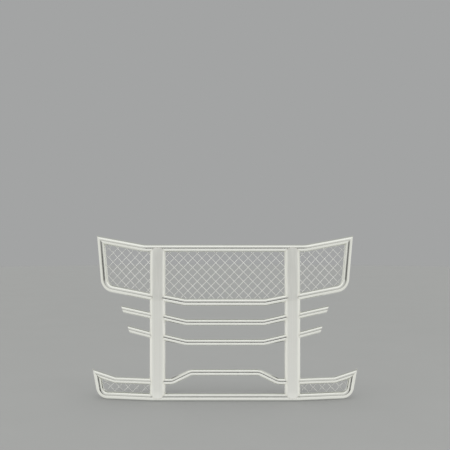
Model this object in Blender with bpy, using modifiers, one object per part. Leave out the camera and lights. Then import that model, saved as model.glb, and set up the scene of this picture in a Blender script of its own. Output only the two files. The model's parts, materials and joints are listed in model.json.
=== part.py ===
"""Front grille guard for a cab-over truck: welded tube guard on two tilting chassis brackets.

Units are metres, +Z is up and the guard faces -Y. X = 0 is the guard's middle, Z = 0 its lowest point.
The guard folds forward about the two pivot bolts once the latch pins are drawn.
Run with: blender --background --python part.py
"""
import math

import bmesh
import bpy
from mathutils import Matrix, Vector

# --- driving dimensions -----------------------------------------------------------------------

GAP = 0.0003                 # air kept between pieces that touch or are welded
SIDES = 12                   # flats round a tube
BEND_STEP = math.radians(18)  # largest turn between two rings of a bent tube

MAIN_R = 0.0335              # outer radius of the frame tubes
RAIL_R = 0.0300              # outer radius of the lighter rails
TUBE_WALL = 0.004
UPRIGHT_WIDTH = 0.138        # flat-oval upright, across the truck
UPRIGHT_WALL = 0.005
UPRIGHT_X = 0.600            # centre of each upright
COPE_GAP = 0.00055           # rails stop this far from the upright, facets included
UPRIGHT_OUT = UPRIGHT_X + UPRIGHT_WIDTH / 2
BURIED_X = UPRIGHT_X         # rails are drawn to here, then coped against the upright
WING_X = 0.640               # the wings start to run back here, inside the upright's rounded side
WING_BEND_R = 0.060

GUARD_Y = -0.140             # plane of the tube centre lines, in the part's frame
SWEEP = math.tan(math.radians(10.6))   # wings run back by this much for each metre outwards
LEAN = math.tan(math.radians(4.0))     # upper frame leans back by this much for each metre up
KINK_Z = 0.895               # level seam where the uprights start to lean

TOP_Z = 1.354
TOP_BEND_X = 0.717
TOP_CORNER = (1.1224, 1.426)       # centre-line corner of top rail and side hoop, X and Z
HOOP_BEND = (1.079, 0.999)
HOOP_ROOT_Z = 0.926                # hoop centre line where it meets the upright
HOOP_BEND_R = 0.100

FRAME_LOWER_Z = 0.875
FRAME_LOWER_BEND_X = 0.358
FRAME_LOWER_SLOPE = 0.195

MID_BEND_X = 0.346
MID_RAILS = {"upper": (0.6955, 0.231), "lower": (0.518, 0.234)}   # height of the level run, end slope
STUBS = {"upper": (0.758, 0.2005), "lower": (0.585, 0.240)}       # height at the upright, slope
STUB_END_X = 0.918           # where the upper stub's centre line is cut off
STUB_END_Z = 0.808
STUB_CUT_SLOPE = 0.324       # both stub ends are cut along one raked line, X per Z
CAP_THICK = 0.004

TRIM_BLOCK = 0.240           # blocks that trim a tube's end, small enough to miss the far side of a bend
STUB_BLOCK = 0.500           # blocks that take all of a stub away on one side of a cap

ARCH_END_Z = 0.170
ARCH_TOP_Z = 0.251
ARCH_LOW_X = 0.470
ARCH_HIGH_X = 0.303

BOTTOM_Z = MAIN_R
BOTTOM_PLAN_BEND_X = 0.655
BOTTOM_BEND_X = 1.116
BOTTOM_BEND_R = 0.078
POCKET_Z = 0.171
POCKET_RISE_X = 0.984
POCKET_CORNER = (1.151, 0.219)

WIRE = 0.0065                # mesh wire width
WIRE_DEPTH = 0.006
MESH_PITCH = 0.083           # corner-to-corner size of one diamond
MESH_BORDER = 0.012          # closed rim of each panel, hidden behind the tubes
MESH_EDGE = 0.006            # the rim starts this far inside the tube centre lines
MESH_TUCK = 0.020            # how far a panel reaches behind an upright
MESH_BACK = MAIN_R + 0.0015    # front of the wires behind the tube centre lines
SMALLEST_HOLE = 0.00012      # square metres; smaller corner holes stay closed
CENTRE_CROSSING = (0.0, 1.140)     # X and Z of one wire crossing in each panel
WING_CROSSINGS = {-1: (-0.811, 1.185), 1: (0.8175, 1.172)}
POCKET_CROSSINGS = {-1: (-0.873, 0.104), 1: (0.873, 0.104)}
POCKET_MESH_CORNER = (1.142, 0.186)     # upper edge of the pocket panels, behind the pocket rail
POCKET_MESH_ROOT_Z = 0.160

PIVOT_Y = 0.110              # pivot axis behind the tube centre lines
PIVOT_Z = 0.101
LATCH_Y = 0.075
LATCH_Z = 0.330
CHEEK = 0.008                # bracket cheek plates
LUG = 0.012                  # lugs on the guard
SIDE_GAP = 0.0015            # running gap between lug and cheek
CHEEK_IN = 0.5535            # inner face of the inner cheek
LUG_IN = CHEEK_IN + CHEEK + SIDE_GAP
CHEEK_OUT = LUG_IN + LUG + SIDE_GAP
CHEEK_END = CHEEK_OUT + CHEEK

FLANGE_BACK = 0.3135
FLANGE_THICK = 0.012
FLANGE_WIDTH = 0.140
FLANGE_LOW = 0.040
FLANGE_HIGH = 0.280
FLANGE_HOLE_R = 0.00875      # clears an M16 bolt
FLANGE_HOLES_X = (0.058, 0.113)    # outwards from the flange's inner edge, clear of the cheeks
FLANGE_HOLES_Z = (0.075, 0.245)

BOLT_R = 0.010               # M20 pivot bolt
BOLT_FIT = 0.0006
HEX_R = 0.01732              # hexagon corner radius, 30 mm across flats
HEX_THICK = 0.0125
NUT_THICK = 0.016
BUSH_R = 0.014
EYE_R = 0.030
STOP_PIN_R = 0.006
STOP_PIN_ARM = 0.045
STOP_PIN_ANGLE = math.radians(115)
HEEL_ANGLE = math.radians(21.6)      # radial heel edge, which meets the stop pin with the guard fully down
HEEL_REACH = 0.056

PIN_R = 0.009
PIN_PARKED = 0.578           # tip of the drawn latch pin
PIN_LENGTH = 0.0895
PIN_FIT = 0.0006
COLLAR_R = 0.0125
COLLAR_AT = 0.6103
COLLAR_THICK = 0.003
GUIDE_R = 0.017
GUIDE_BORE_R = 0.0135
GUIDE_END = 0.6323
GUIDE_WALL = 0.004
HANDLE_R = 0.0035
HANDLE_AT = 0.6625
SPRING_R = 0.0111
SPRING_WIRE_R = 0.0009
SPRING_TURNS = 5

STOP_PLATE_Z = 0.412
STOP_PLATE_SIZE = (0.052, 0.0077, 0.040)
STOP_PLATE_Y = 0.0538
BUFFER_R = 0.016
BUFFER_X = 0.588


# --- scene ------------------------------------------------------------------------------------

for old in list(bpy.data.objects):
    bpy.data.objects.remove(old, do_unlink=True)

PARTS = bpy.data.collections.new("front_grille_guard")
CUTTERS = bpy.data.collections.new("cutters")
bpy.context.scene.collection.children.link(PARTS)
bpy.context.scene.collection.children.link(CUTTERS)


def make_material(name, colour, roughness, metallic):
    material = bpy.data.materials.new(name)
    material.use_nodes = True
    shader = material.node_tree.nodes["Principled BSDF"]
    shader.inputs["Base Color"].default_value = (*colour, 1.0)
    shader.inputs["Roughness"].default_value = roughness
    shader.inputs["Metallic"].default_value = metallic
    return material


TUBE_ALLOY = make_material("polished_aluminium", (0.80, 0.80, 0.78), 0.22, 1.0)
UPRIGHT_ALLOY = make_material("satin_aluminium", (0.76, 0.76, 0.74), 0.30, 1.0)
MESH_ALLOY = make_material("mesh_aluminium", (0.72, 0.72, 0.70), 0.35, 1.0)
BRACKET_STEEL = make_material("painted_steel", (0.05, 0.05, 0.055), 0.45, 0.0)
ZINC_STEEL = make_material("zinc_plated_steel", (0.62, 0.62, 0.60), 0.35, 1.0)
BRONZE = make_material("bronze", (0.60, 0.42, 0.22), 0.35, 1.0)
SPRING_STEEL = make_material("spring_steel", (0.35, 0.35, 0.36), 0.40, 1.0)
RUBBER = make_material("black_rubber", (0.03, 0.03, 0.03), 0.80, 0.0)


def add_part(name, mesh, material, place=(0.0, 0.0, 0.0)):
    """Put a mesh in the parts collection under its own name and material."""
    mesh.materials.clear()
    mesh.materials.append(material)
    part = bpy.data.objects.new(name, mesh)
    part.location = place
    PARTS.objects.link(part)
    return part


def add_cutter(name, mesh):
    cutter = bpy.data.objects.new(name, mesh)
    cutter.display_type = 'WIRE'
    cutter.hide_render = True
    CUTTERS.objects.link(cutter)
    return cutter


def combine(part, other, operation='DIFFERENCE'):
    """Cut another object out of the part, or join it to the part."""
    modifier = part.modifiers.new(operation.lower(), 'BOOLEAN')
    modifier.operation = operation
    modifier.object = other


def smooth(mesh, angle=math.radians(35)):
    mesh.shade_smooth()
    mesh.set_sharp_from_angle(angle=angle)


# --- shape helpers ----------------------------------------------------------------------------

def curve_to_mesh(curve):
    """Turn curve data into a closed mesh with its caps welded on."""
    carrier = bpy.data.objects.new("carrier", curve)
    CUTTERS.objects.link(carrier)
    bpy.context.view_layer.update()
    graph = bpy.context.evaluated_depsgraph_get()
    mesh = bpy.data.meshes.new_from_object(carrier.evaluated_get(graph))
    bpy.data.objects.remove(carrier, do_unlink=True)
    work = bmesh.new()
    work.from_mesh(mesh)
    bmesh.ops.remove_doubles(work, verts=work.verts, dist=0.00001)
    work.to_mesh(mesh)
    work.free()
    return mesh


def sweep(path, radius, capped, sides=SIDES, closed=False):
    """Round bar or tube skin that follows the points of path."""
    curve = bpy.data.curves.new("sweep", 'CURVE')
    curve.dimensions = '3D'
    curve.bevel_depth = radius
    curve.bevel_resolution = (sides - 4) // 2
    curve.use_fill_caps = capped
    spline = curve.splines.new('POLY')
    spline.points.add(len(path) - 1)
    spline.use_cyclic_u = closed
    for point, place in zip(spline.points, path):
        point.co = (place[0], place[1], place[2], 1.0)
    return curve_to_mesh(curve)


def flat_shape(outlines, thickness):
    """Flat piece in local XY from closed outlines; every outline after the first is a hole."""
    curve = bpy.data.curves.new("outline", 'CURVE')
    curve.dimensions = '2D'
    curve.fill_mode = 'BOTH'
    curve.extrude = thickness / 2
    for outline in outlines:
        spline = curve.splines.new('POLY')
        spline.points.add(len(outline) - 1)
        spline.use_cyclic_u = True
        for point, (x, y) in zip(spline.points, outline):
            point.co = (x, y, 0.0, 1.0)
    return curve_to_mesh(curve)


def arc(centre, radius, start, end, steps):
    """Points on an arc, both ends included; angles in radians."""
    points = []
    for i in range(steps + 1):
        angle = start + (end - start) * i / steps
        points.append((centre[0] + radius * math.cos(angle), centre[1] + radius * math.sin(angle)))
    return points


def circle(centre, radius, steps=24):
    return arc(centre, radius, 0.0, 2 * math.pi, steps)[:-1]


def bent_path(corners, radius):
    """Centre line of a bent tube: straight runs joined by arcs of one radius."""
    corners = [Vector(corner) for corner in corners]
    path = [corners[0]]
    for before, corner, after in zip(corners, corners[1:], corners[2:]):
        into = (corner - before).normalized()
        out = (after - corner).normalized()
        turn = into.angle(out)
        tangent = radius * math.tan(turn / 2)
        side = (out - into).normalized()
        centre = corner + side * (radius / math.cos(turn / 2))
        start = corner - into * tangent
        axis = into.cross(out).normalized()
        steps = max(2, math.ceil(turn / BEND_STEP))
        for i in range(steps + 1):
            spin = Matrix.Rotation(turn * i / steps, 3, axis)
            path.append(centre + spin @ (start - centre))
    path.append(corners[-1])
    return path


def guard_point(x, z):
    """Point on the guard's centre surface: straight middle, swept wings, leaning upper frame."""
    reach = max(0.0, abs(x) - WING_X)
    return Vector((x, GUARD_Y + reach * SWEEP + max(0.0, z - KINK_Z) * LEAN, z))


def wing_root(z_at_upright, slope):
    """First points of a wing tube: inside the upright, then where it turns back into the wing."""
    return [guard_point(x, z_at_upright + (x - UPRIGHT_OUT) * slope) for x in (BURIED_X, WING_X)]


def mirrored(points):
    """The same path on the other side of the truck, run from end to end through the middle."""
    left = [Vector((-point[0], point[1], point[2])) for point in reversed(points)]
    return left + [Vector(point) for point in points]


def tube(name, path, radius, material=TUBE_ALLOY):
    """Open-ended tube along a path."""
    mesh = sweep(path, radius, capped=False)
    smooth(mesh)
    part = add_part(name, mesh, material)
    wall = part.modifiers.new("wall", 'SOLIDIFY')
    wall.thickness = TUBE_WALL
    wall.offset = -1.0
    return part


def clear_radius(radius, sides=SIDES):
    """Radius of a faceted cutter that stays GAP clear of a round piece of this radius."""
    return (radius + GAP) / math.cos(math.pi / sides)


def half_space(name, point, normal, size):
    """Cutter block whose face lies on the plane and whose body is on the far side of normal."""
    work = bmesh.new()
    bmesh.ops.create_cube(work, size=size)
    bmesh.ops.translate(work, verts=work.verts, vec=(0.0, 0.0, -size / 2))
    turn = Vector((0.0, 0.0, 1.0)).rotation_difference(Vector(normal)).to_matrix().to_4x4()
    bmesh.ops.transform(work, verts=work.verts, matrix=Matrix.Translation(point) @ turn)
    mesh = bpy.data.meshes.new(name)
    work.to_mesh(mesh)
    work.free()
    return add_cutter(name, mesh)


def cut_square(part, point, keep_direction, size=TRIM_BLOCK):
    """Trim the part at a plane, leaving half the gap on this side of it."""
    normal = Vector(keep_direction).normalized()
    combine(part, half_space(part.name + "_trim", Vector(point) + normal * GAP / 2, normal, size))


def cut_mitre(part, corner, own_end, other_end):
    """Mitre one tube of a corner: own_end and other_end are the far points of the two tubes."""
    own = (Vector(own_end) - Vector(corner)).normalized()
    other = (Vector(other_end) - Vector(corner)).normalized()
    cut_square(part, corner, own - other)


def stretch_end(path, extra):
    """Run the last straight of a path on by extra, so that a mitre can trim it."""
    direction = (path[-1] - path[-2]).normalized()
    return path[:-1] + [path[-1] + direction * extra]


def bar_mesh(radius, length, sides=24):
    """Solid round bar on local Z, centred on the origin; six sides make a hexagon."""
    work = bmesh.new()
    bmesh.ops.create_cone(work, cap_ends=True, segments=sides, radius1=radius, radius2=radius, depth=length)
    mesh = bpy.data.meshes.new("bar")
    work.to_mesh(mesh)
    work.free()
    return mesh


def bar_along(axis, radius, start, end, across, sides=24):
    """Solid round bar along X, Y or Z from start to end; across are its other two coordinates."""
    mesh = bar_mesh(radius, end - start, sides)
    middle = (start + end) / 2
    if axis == 'X':
        turn = Matrix.Rotation(math.pi / 2, 4, 'Y')
        place = (middle, across[0], across[1])
    elif axis == 'Y':
        turn = Matrix.Rotation(math.pi / 2, 4, 'X')
        place = (across[0], middle, across[1])
    else:
        turn = Matrix.Identity(4)
        place = (across[0], across[1], middle)
    mesh.transform(Matrix.Translation(place) @ turn)
    return mesh


def span(side, near, far):
    """Low and high X of a stretch that runs outwards from near to far on one side."""
    low, high = sorted((side * near, side * far))
    return low, high


def upright_plate(name, outlines, inner_face, thickness, side, material):
    """Plate that stands fore and aft: outlines in (depth behind the tubes, height)."""
    mesh = flat_shape(outlines, thickness)
    stand = Matrix(((0, 0, 1, 0), (1, 0, 0, 0), (0, 1, 0, 0), (0, 0, 0, 1)))
    place = Matrix.Translation((side * (inner_face + thickness / 2), GUARD_Y, 0.0))
    mesh.transform(place @ stand)
    return add_part(name, mesh, material)


SIDE_NAMES = {1: "right", -1: "left"}


# --- uprights ---------------------------------------------------------------------------------

def flat_oval(centre_x, width, radius, grow=0.0, steps=10):
    """Outline with two flat faces and two half-round sides, seen from above."""
    reach = width / 2 - radius
    radius = radius + grow
    right = arc((centre_x + reach, GUARD_Y), radius, -math.pi / 2, math.pi / 2, steps)
    left = arc((centre_x - reach, GUARD_Y), radius, math.pi / 2, 3 * math.pi / 2, steps)
    return right + left


def oval_bar(centre_x, low, high, grow=0.0):
    """Upright's solid outer form, upright below the kink and leaning back above it."""
    mesh = flat_shape([flat_oval(centre_x, UPRIGHT_WIDTH, MAIN_R, grow)], high - low)
    mesh.transform(Matrix.Translation((0.0, 0.0, (low + high) / 2)))
    if low < KINK_Z < high:
        work = bmesh.new()
        work.from_mesh(mesh)
        everything = work.verts[:] + work.edges[:] + work.faces[:]
        bmesh.ops.bisect_plane(work, geom=everything, plane_co=(0.0, 0.0, KINK_Z), plane_no=(0.0, 0.0, 1.0))
        work.to_mesh(mesh)
        work.free()
    for vertex in mesh.vertices:
        vertex.co.y += max(0.0, vertex.co.z - KINK_Z) * LEAN
    return mesh


def build_uprights(bottom_cutter, top_cutter):
    """Lower and upper piece of each upright, and the cutters that cope the rails to them."""
    copers = {}
    overrun = 0.1
    for side, label in SIDE_NAMES.items():
        x = side * UPRIGHT_X
        hollow = add_cutter("upright_hollow_" + label,
                            oval_bar(x, BOTTOM_Z - overrun, TOP_Z + overrun, -UPRIGHT_WALL))
        pieces = {"lower": (BOTTOM_Z, KINK_Z - GAP / 2, bottom_cutter),
                  "upper": (KINK_Z + GAP / 2, TOP_Z, top_cutter)}
        for level, (low, high, rail_cutter) in pieces.items():
            mesh = oval_bar(x, low, high)
            smooth(mesh)
            upright = add_part("upright_" + level + "_" + label, mesh, UPRIGHT_ALLOY)
            combine(upright, hollow)
            combine(upright, rail_cutter)
        copers[side] = add_cutter("upright_cope_" + label,
                                  oval_bar(x, BOTTOM_Z - overrun, TOP_Z + overrun, COPE_GAP))
    return copers


# --- guard tubes ------------------------------------------------------------------------------

def build_top_rail(top_half):
    """One tube from corner to corner, bent up and back at each wing."""
    rail = tube("top_rail", mirrored(top_half), MAIN_R)
    hoop_direction = guard_point(*HOOP_BEND)
    for side in SIDE_NAMES:
        flip = Vector((side, 1.0, 1.0))
        corner = guard_point(*TOP_CORNER) * flip
        cut_mitre(rail, corner, guard_point(TOP_BEND_X, TOP_Z) * flip, hoop_direction * flip)


def build_side_hoops(hoop, copers):
    """Wing frame tube: from the upright outwards, round the bend and up to the mitred corner."""
    for side, label in SIDE_NAMES.items():
        flip = Vector((side, 1.0, 1.0))
        path = stretch_end([point * flip for point in hoop], 2 * MAIN_R)
        part = tube("side_hoop_" + label, path, MAIN_R)
        combine(part, copers[side])
        cut_mitre(part, hoop[-1] * flip, hoop[-2] * flip, guard_point(TOP_BEND_X, TOP_Z) * flip)


def build_centre_rails(copers):
    """Rails between the uprights, level in the middle and bent at each end."""
    rails = {
        "frame_lower_rail": (FRAME_LOWER_Z, FRAME_LOWER_BEND_X, FRAME_LOWER_SLOPE, MAIN_R, 0.10),
        "upper_mid_rail": (MID_RAILS["upper"][0], MID_BEND_X, MID_RAILS["upper"][1], RAIL_R, 0.15),
        "lower_mid_rail": (MID_RAILS["lower"][0], MID_BEND_X, MID_RAILS["lower"][1], RAIL_R, 0.15),
    }
    for name, (height, bend_x, slope, radius, bend_r) in rails.items():
        end_z = height + (BURIED_X - bend_x) * slope
        corners = mirrored([guard_point(bend_x, height), guard_point(BURIED_X, end_z)])
        rail = tube(name, bent_path(corners, bend_r), radius)
        for coper in copers.values():
            combine(rail, coper)


def build_arch_rail(copers):
    """Low rail raised in the middle."""
    half = [guard_point(ARCH_HIGH_X, ARCH_TOP_Z), guard_point(ARCH_LOW_X, ARCH_END_Z),
            guard_point(BURIED_X, ARCH_END_Z)]
    arch = tube("arch_rail", bent_path(mirrored(half), 0.10), RAIL_R)
    for side in SIDE_NAMES:
        combine(arch, copers[side])


def build_bottom_rail(bottom_half, pocket_half, copers):
    """Bottom tube with its turned-up ends, and the pocket rail mitred to each of them."""
    long_half = stretch_end(bottom_half, 2 * MAIN_R)
    bottom = tube("bottom_rail", mirrored(long_half), MAIN_R)
    for side, label in SIDE_NAMES.items():
        flip = Vector((side, 1.0, 1.0))
        corner = bottom_half[-1] * flip
        bottom_end = bottom_half[-2] * flip
        pocket_end = pocket_half[-2] * flip
        cut_mitre(bottom, corner, bottom_end, pocket_end)
        path = stretch_end([point * flip for point in pocket_half], 2 * MAIN_R)
        pocket = tube("pocket_rail_" + label, path, RAIL_R)
        combine(pocket, copers[side])
        cut_mitre(pocket, corner, pocket_end, bottom_end)


def build_stubs(copers):
    """Short rails outside the uprights, cut off along one raked line and closed with caps."""
    rake = Vector((STUB_CUT_SLOPE, 0.0, 1.0)).normalized()
    inwards = Vector((-rake.z, 0.0, rake.x))
    for level, (root_z, slope) in STUBS.items():
        # where the stub's centre line crosses the raked line
        end_x = ((STUB_END_X - STUB_CUT_SLOPE * STUB_END_Z + STUB_CUT_SLOPE * (root_z - slope * UPRIGHT_OUT))
                 / (1 - STUB_CUT_SLOPE * slope))
        end = guard_point(end_x, root_z + (end_x - UPRIGHT_OUT) * slope)
        for side, label in SIDE_NAMES.items():
            flip = Vector((side, 1.0, 1.0))
            corners = [point * flip for point in wing_root(root_z, slope) + [end]]
            path = stretch_end(bent_path(corners, WING_BEND_R), 2 * RAIL_R)
            name = level + "_stub_" + label
            stub = tube(name, path, RAIL_R)
            combine(stub, copers[side])
            cut_square(stub, (end + inwards * CAP_THICK) * flip, inwards * flip)
            cap_mesh = sweep(path, RAIL_R, capped=True)
            smooth(cap_mesh)
            cap = add_part(level + "_end_cap_" + label, cap_mesh, TUBE_ALLOY)
            cut_square(cap, end * flip, inwards * flip, STUB_BLOCK)
            cut_square(cap, (end + inwards * CAP_THICK) * flip, -inwards * flip, STUB_BLOCK)


# --- mesh panels ------------------------------------------------------------------------------

def inset(outline, distance):
    """Move every edge of a convex anticlockwise outline inwards."""
    points = [Vector(point) for point in outline]
    result = []
    for i, here in enumerate(points):
        before = (here - points[i - 1]).normalized()
        after = (points[(i + 1) % len(points)] - here).normalized()
        normal_before = Vector((-before.y, before.x))
        normal_after = Vector((-after.y, after.x))
        spread = 1 + normal_before.dot(normal_after)
        result.append(here + (normal_before + normal_after) * (distance / spread))
    return result


def clip(shape, outline):
    """Part of a convex shape that lies inside a convex anticlockwise outline."""
    for i, corner in enumerate(outline):
        edge = outline[(i + 1) % len(outline)] - corner
        heights = [edge.x * (p.y - corner.y) - edge.y * (p.x - corner.x) for p in shape]
        kept = []
        for j, point in enumerate(shape):
            last, height, last_height = shape[j - 1], heights[j], heights[j - 1]
            if (height > 0) != (last_height > 0):
                kept.append(last.lerp(point, last_height / (last_height - height)))
            if height > 0:
                kept.append(point)
        shape = kept
        if len(shape) < 3:
            return []
    return shape


def area(outline):
    total = 0.0
    for i, point in enumerate(outline):
        total += outline[i - 1].x * point.y - outline[i - 1].y * point.x
    return abs(total) / 2


def build_mesh_panel(name, outline, crossing, squeeze):
    """Flat lattice of crossed wires behind a window; crossing is where two wires meet."""
    rim = inset(outline, MESH_EDGE)
    inside = inset(outline, MESH_EDGE + MESH_BORDER)
    step_x = MESH_PITCH * squeeze / 2
    step_z = MESH_PITCH / 2
    half_x = step_x - WIRE / math.sqrt(2)
    half_z = step_z - WIRE / math.sqrt(2)
    holes = []
    columns = math.ceil(max(abs(point.x - crossing[0]) for point in rim) / step_x) + 1
    rows = math.ceil(max(abs(point.y - crossing[1]) for point in rim) / step_z) + 1
    for column in range(-columns, columns + 1):
        for row in range(-rows, rows + 1):
            if (column + row) % 2 == 0:
                continue
            x = crossing[0] + column * step_x
            z = crossing[1] + row * step_z
            diamond = [Vector((x + half_x, z)), Vector((x, z + half_z)),
                       Vector((x - half_x, z)), Vector((x, z - half_z))]
            hole = clip(diamond, inside)
            if hole and area(hole) > SMALLEST_HOLE:
                holes.append(hole)
    mesh = flat_shape([rim] + holes, WIRE_DEPTH)
    stand = Matrix(((1, 0, 0, 0), (0, 0, -1, 0), (0, 1, 0, 0), (0, 0, 0, 1)))
    mesh.transform(stand)
    for vertex in mesh.vertices:
        plane = guard_point(vertex.co.x, vertex.co.z)
        vertex.co.y += plane.y + MESH_BACK + WIRE_DEPTH / 2
    add_part(name, mesh, MESH_ALLOY)


def build_mesh_panels(hoop, bottom_half):
    """Centre window, two wing windows and two low pockets."""
    cosine = 1 / math.sqrt(1 + SWEEP * SWEEP)
    edge_in = UPRIGHT_X - UPRIGHT_WIDTH / 2 + MESH_TUCK
    edge_out = UPRIGHT_OUT - MESH_TUCK
    centre = [(-edge_in, FRAME_LOWER_Z), (edge_in, FRAME_LOWER_Z), (edge_in, TOP_Z), (-edge_in, TOP_Z)]
    build_mesh_panel("mesh_centre", centre, CENTRE_CROSSING, 1.0)
    top_slope = (TOP_CORNER[1] - TOP_Z) / (TOP_CORNER[0] - TOP_BEND_X)
    wing = [(edge_out, HOOP_ROOT_Z)] + [(point.x, point.z) for point in hoop if point.x > UPRIGHT_OUT]
    wing.append((edge_out, TOP_Z - (TOP_BEND_X - edge_out) * top_slope))
    turn_up = [(point.x, point.z) for point in bottom_half if point.x > UPRIGHT_OUT and point.z < POCKET_Z]
    pocket = [(edge_out, BOTTOM_Z)] + turn_up + [POCKET_MESH_CORNER, (edge_out, POCKET_MESH_ROOT_Z)]
    panels = {"wing": (wing, WING_CROSSINGS), "pocket": (pocket, POCKET_CROSSINGS)}
    for window, (outline, crossings) in panels.items():
        for side, label in SIDE_NAMES.items():
            loop = [(side * x, z) for x, z in outline]
            if side < 0:
                loop.reverse()
            build_mesh_panel("mesh_" + window + "_" + label, loop, crossings[side], cosine)


# --- pivot, bracket and latch -----------------------------------------------------------------

def build_lugs(side, label):
    """Lugs welded to the back of an upright: the pivot eye below, the latch eye above it."""
    back = MAIN_R + GAP
    pivot = (PIVOT_Y, PIVOT_Z)
    heel_end = (PIVOT_Y + HEEL_REACH * math.cos(HEEL_ANGLE), PIVOT_Z + HEEL_REACH * math.sin(HEEL_ANGLE))
    outline = [(back, 0.055), (0.075, 0.062)]
    outline += arc(pivot, EYE_R, math.radians(250), math.radians(340), 6)
    outline += [(PIVOT_Y + HEEL_REACH, PIVOT_Z - 0.006), heel_end]
    outline += arc(pivot, EYE_R, HEEL_ANGLE, math.radians(115), 6)
    outline += [(0.075, 0.1375), (back, 0.150)]
    eye = upright_plate("pivot_lug_" + label, [outline, circle(pivot, BUSH_R + GAP)],
                        LUG_IN, LUG, side, UPRIGHT_ALLOY)
    latch = (LATCH_Y, LATCH_Z)
    outline = [(back, LATCH_Z - 0.036)]
    outline += arc(latch, 0.020, math.radians(-70), math.radians(70), 8)
    outline += [(back, LATCH_Z + 0.036)]
    upright_plate("latch_lug_" + label, [outline, circle(latch, PIN_R + 0.0008)],
                  LUG_IN, LUG, side, UPRIGHT_ALLOY)
    low, high = span(side, LUG_IN - 0.001, LUG_IN + LUG + 0.001)
    across = (GUARD_Y + PIVOT_Y, PIVOT_Z)
    bush = add_part("pivot_bush_" + label, bar_along('X', BUSH_R, low, high, across), BRONZE)
    bore = add_cutter("bush_bore_" + label,
                      bar_along('X', BOLT_R + BOLT_FIT, low - GUIDE_R, high + GUIDE_R, across))
    combine(bush, bore)
    return eye


def build_bracket(side, label):
    """Rear flange with four bolt holes, two cheek plates, and what is fixed to them."""
    pivot = (PIVOT_Y, PIVOT_Z)
    stop_pin = (PIVOT_Y + STOP_PIN_ARM * math.cos(STOP_PIN_ANGLE),
                PIVOT_Z + STOP_PIN_ARM * math.sin(STOP_PIN_ANGLE))
    front = STOP_PLATE_Y + STOP_PLATE_SIZE[1] / 2 + GAP
    rear = FLANGE_BACK - FLANGE_THICK - GAP
    outline = [(rear, 0.050), (rear, 0.270), (0.190, 0.330), (0.150, 0.440), (front, 0.440), (front, 0.290)]
    outline += arc(pivot, 0.034, math.radians(165), math.radians(255), 6)
    outline += [(0.180, 0.050)]
    holes = [circle(pivot, BOLT_R + BOLT_FIT), circle(stop_pin, STOP_PIN_R + GAP),
             circle((LATCH_Y, LATCH_Z), PIN_R + PIN_FIT)]
    upright_plate("bracket_cheek_inner_" + label, [outline] + holes, CHEEK_IN, CHEEK, side, BRACKET_STEEL)
    upright_plate("bracket_cheek_outer_" + label, [outline] + holes, CHEEK_OUT, CHEEK, side, BRACKET_STEEL)

    low, high = span(side, CHEEK_IN, CHEEK_IN + FLANGE_WIDTH)
    plate = [(low, FLANGE_LOW), (high, FLANGE_LOW), (high, FLANGE_HIGH), (low, FLANGE_HIGH)]
    bolt_holes = [circle((side * (CHEEK_IN + x), z), FLANGE_HOLE_R)
                  for x in FLANGE_HOLES_X for z in FLANGE_HOLES_Z]
    mesh = flat_shape([plate] + bolt_holes, FLANGE_THICK)
    stand = Matrix(((1, 0, 0, 0), (0, 0, -1, 0), (0, 1, 0, 0), (0, 0, 0, 1)))
    mesh.transform(Matrix.Translation((0.0, GUARD_Y + FLANGE_BACK - FLANGE_THICK / 2, 0.0)) @ stand)
    add_part("bracket_flange_" + label, mesh, BRACKET_STEEL)

    low, high = span(side, CHEEK_IN + 0.001, CHEEK_END - 0.001)
    across = (GUARD_Y + stop_pin[0], stop_pin[1])
    add_part("stop_pin_" + label, bar_along('X', STOP_PIN_R, low, high, across), ZINC_STEEL)

    work = bmesh.new()
    bmesh.ops.create_cube(work, size=1.0)
    bmesh.ops.scale(work, verts=work.verts, vec=STOP_PLATE_SIZE)
    plate_x = side * (CHEEK_IN + STOP_PLATE_SIZE[0] / 2)
    bmesh.ops.translate(work, verts=work.verts, vec=(plate_x, GUARD_Y + STOP_PLATE_Y, STOP_PLATE_Z))
    mesh = bpy.data.meshes.new("stop_plate")
    work.to_mesh(mesh)
    work.free()
    add_part("stop_plate_" + label, mesh, BRACKET_STEEL)
    low = GUARD_Y + MAIN_R + GAP
    high = GUARD_Y + STOP_PLATE_Y - STOP_PLATE_SIZE[1] / 2 - GAP
    buffer_mesh = bar_along('Y', BUFFER_R, low, high, (side * BUFFER_X, STOP_PLATE_Z))
    add_part("bump_stop_" + label, buffer_mesh, RUBBER)


def build_pivot_bolt(side, label):
    """Hexagon bolt through both cheeks and the bush, with a nut on the inner side."""
    across = (GUARD_Y + PIVOT_Y, PIVOT_Z)
    head_low, head_high = span(side, CHEEK_END + GAP, CHEEK_END + GAP + HEX_THICK)
    shank_low, shank_high = span(side, CHEEK_IN - GAP - NUT_THICK - 0.002, CHEEK_END + GAP + HEX_THICK / 2)
    bolt = add_part("pivot_bolt_" + label, bar_along('X', HEX_R, head_low, head_high, across, 6), ZINC_STEEL)
    shank = add_cutter("shank_" + label, bar_along('X', BOLT_R, shank_low, shank_high, across))
    combine(bolt, shank, 'UNION')
    nut_low, nut_high = span(side, CHEEK_IN - GAP - NUT_THICK, CHEEK_IN - GAP)
    nut = add_part("pivot_nut_" + label, bar_along('X', HEX_R, nut_low, nut_high, across, 6), ZINC_STEEL)
    bore = add_cutter("nut_bore_" + label,
                      bar_along('X', BOLT_R + BOLT_FIT, nut_low - HEX_THICK, nut_high + HEX_THICK, across))
    combine(nut, bore)


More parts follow.
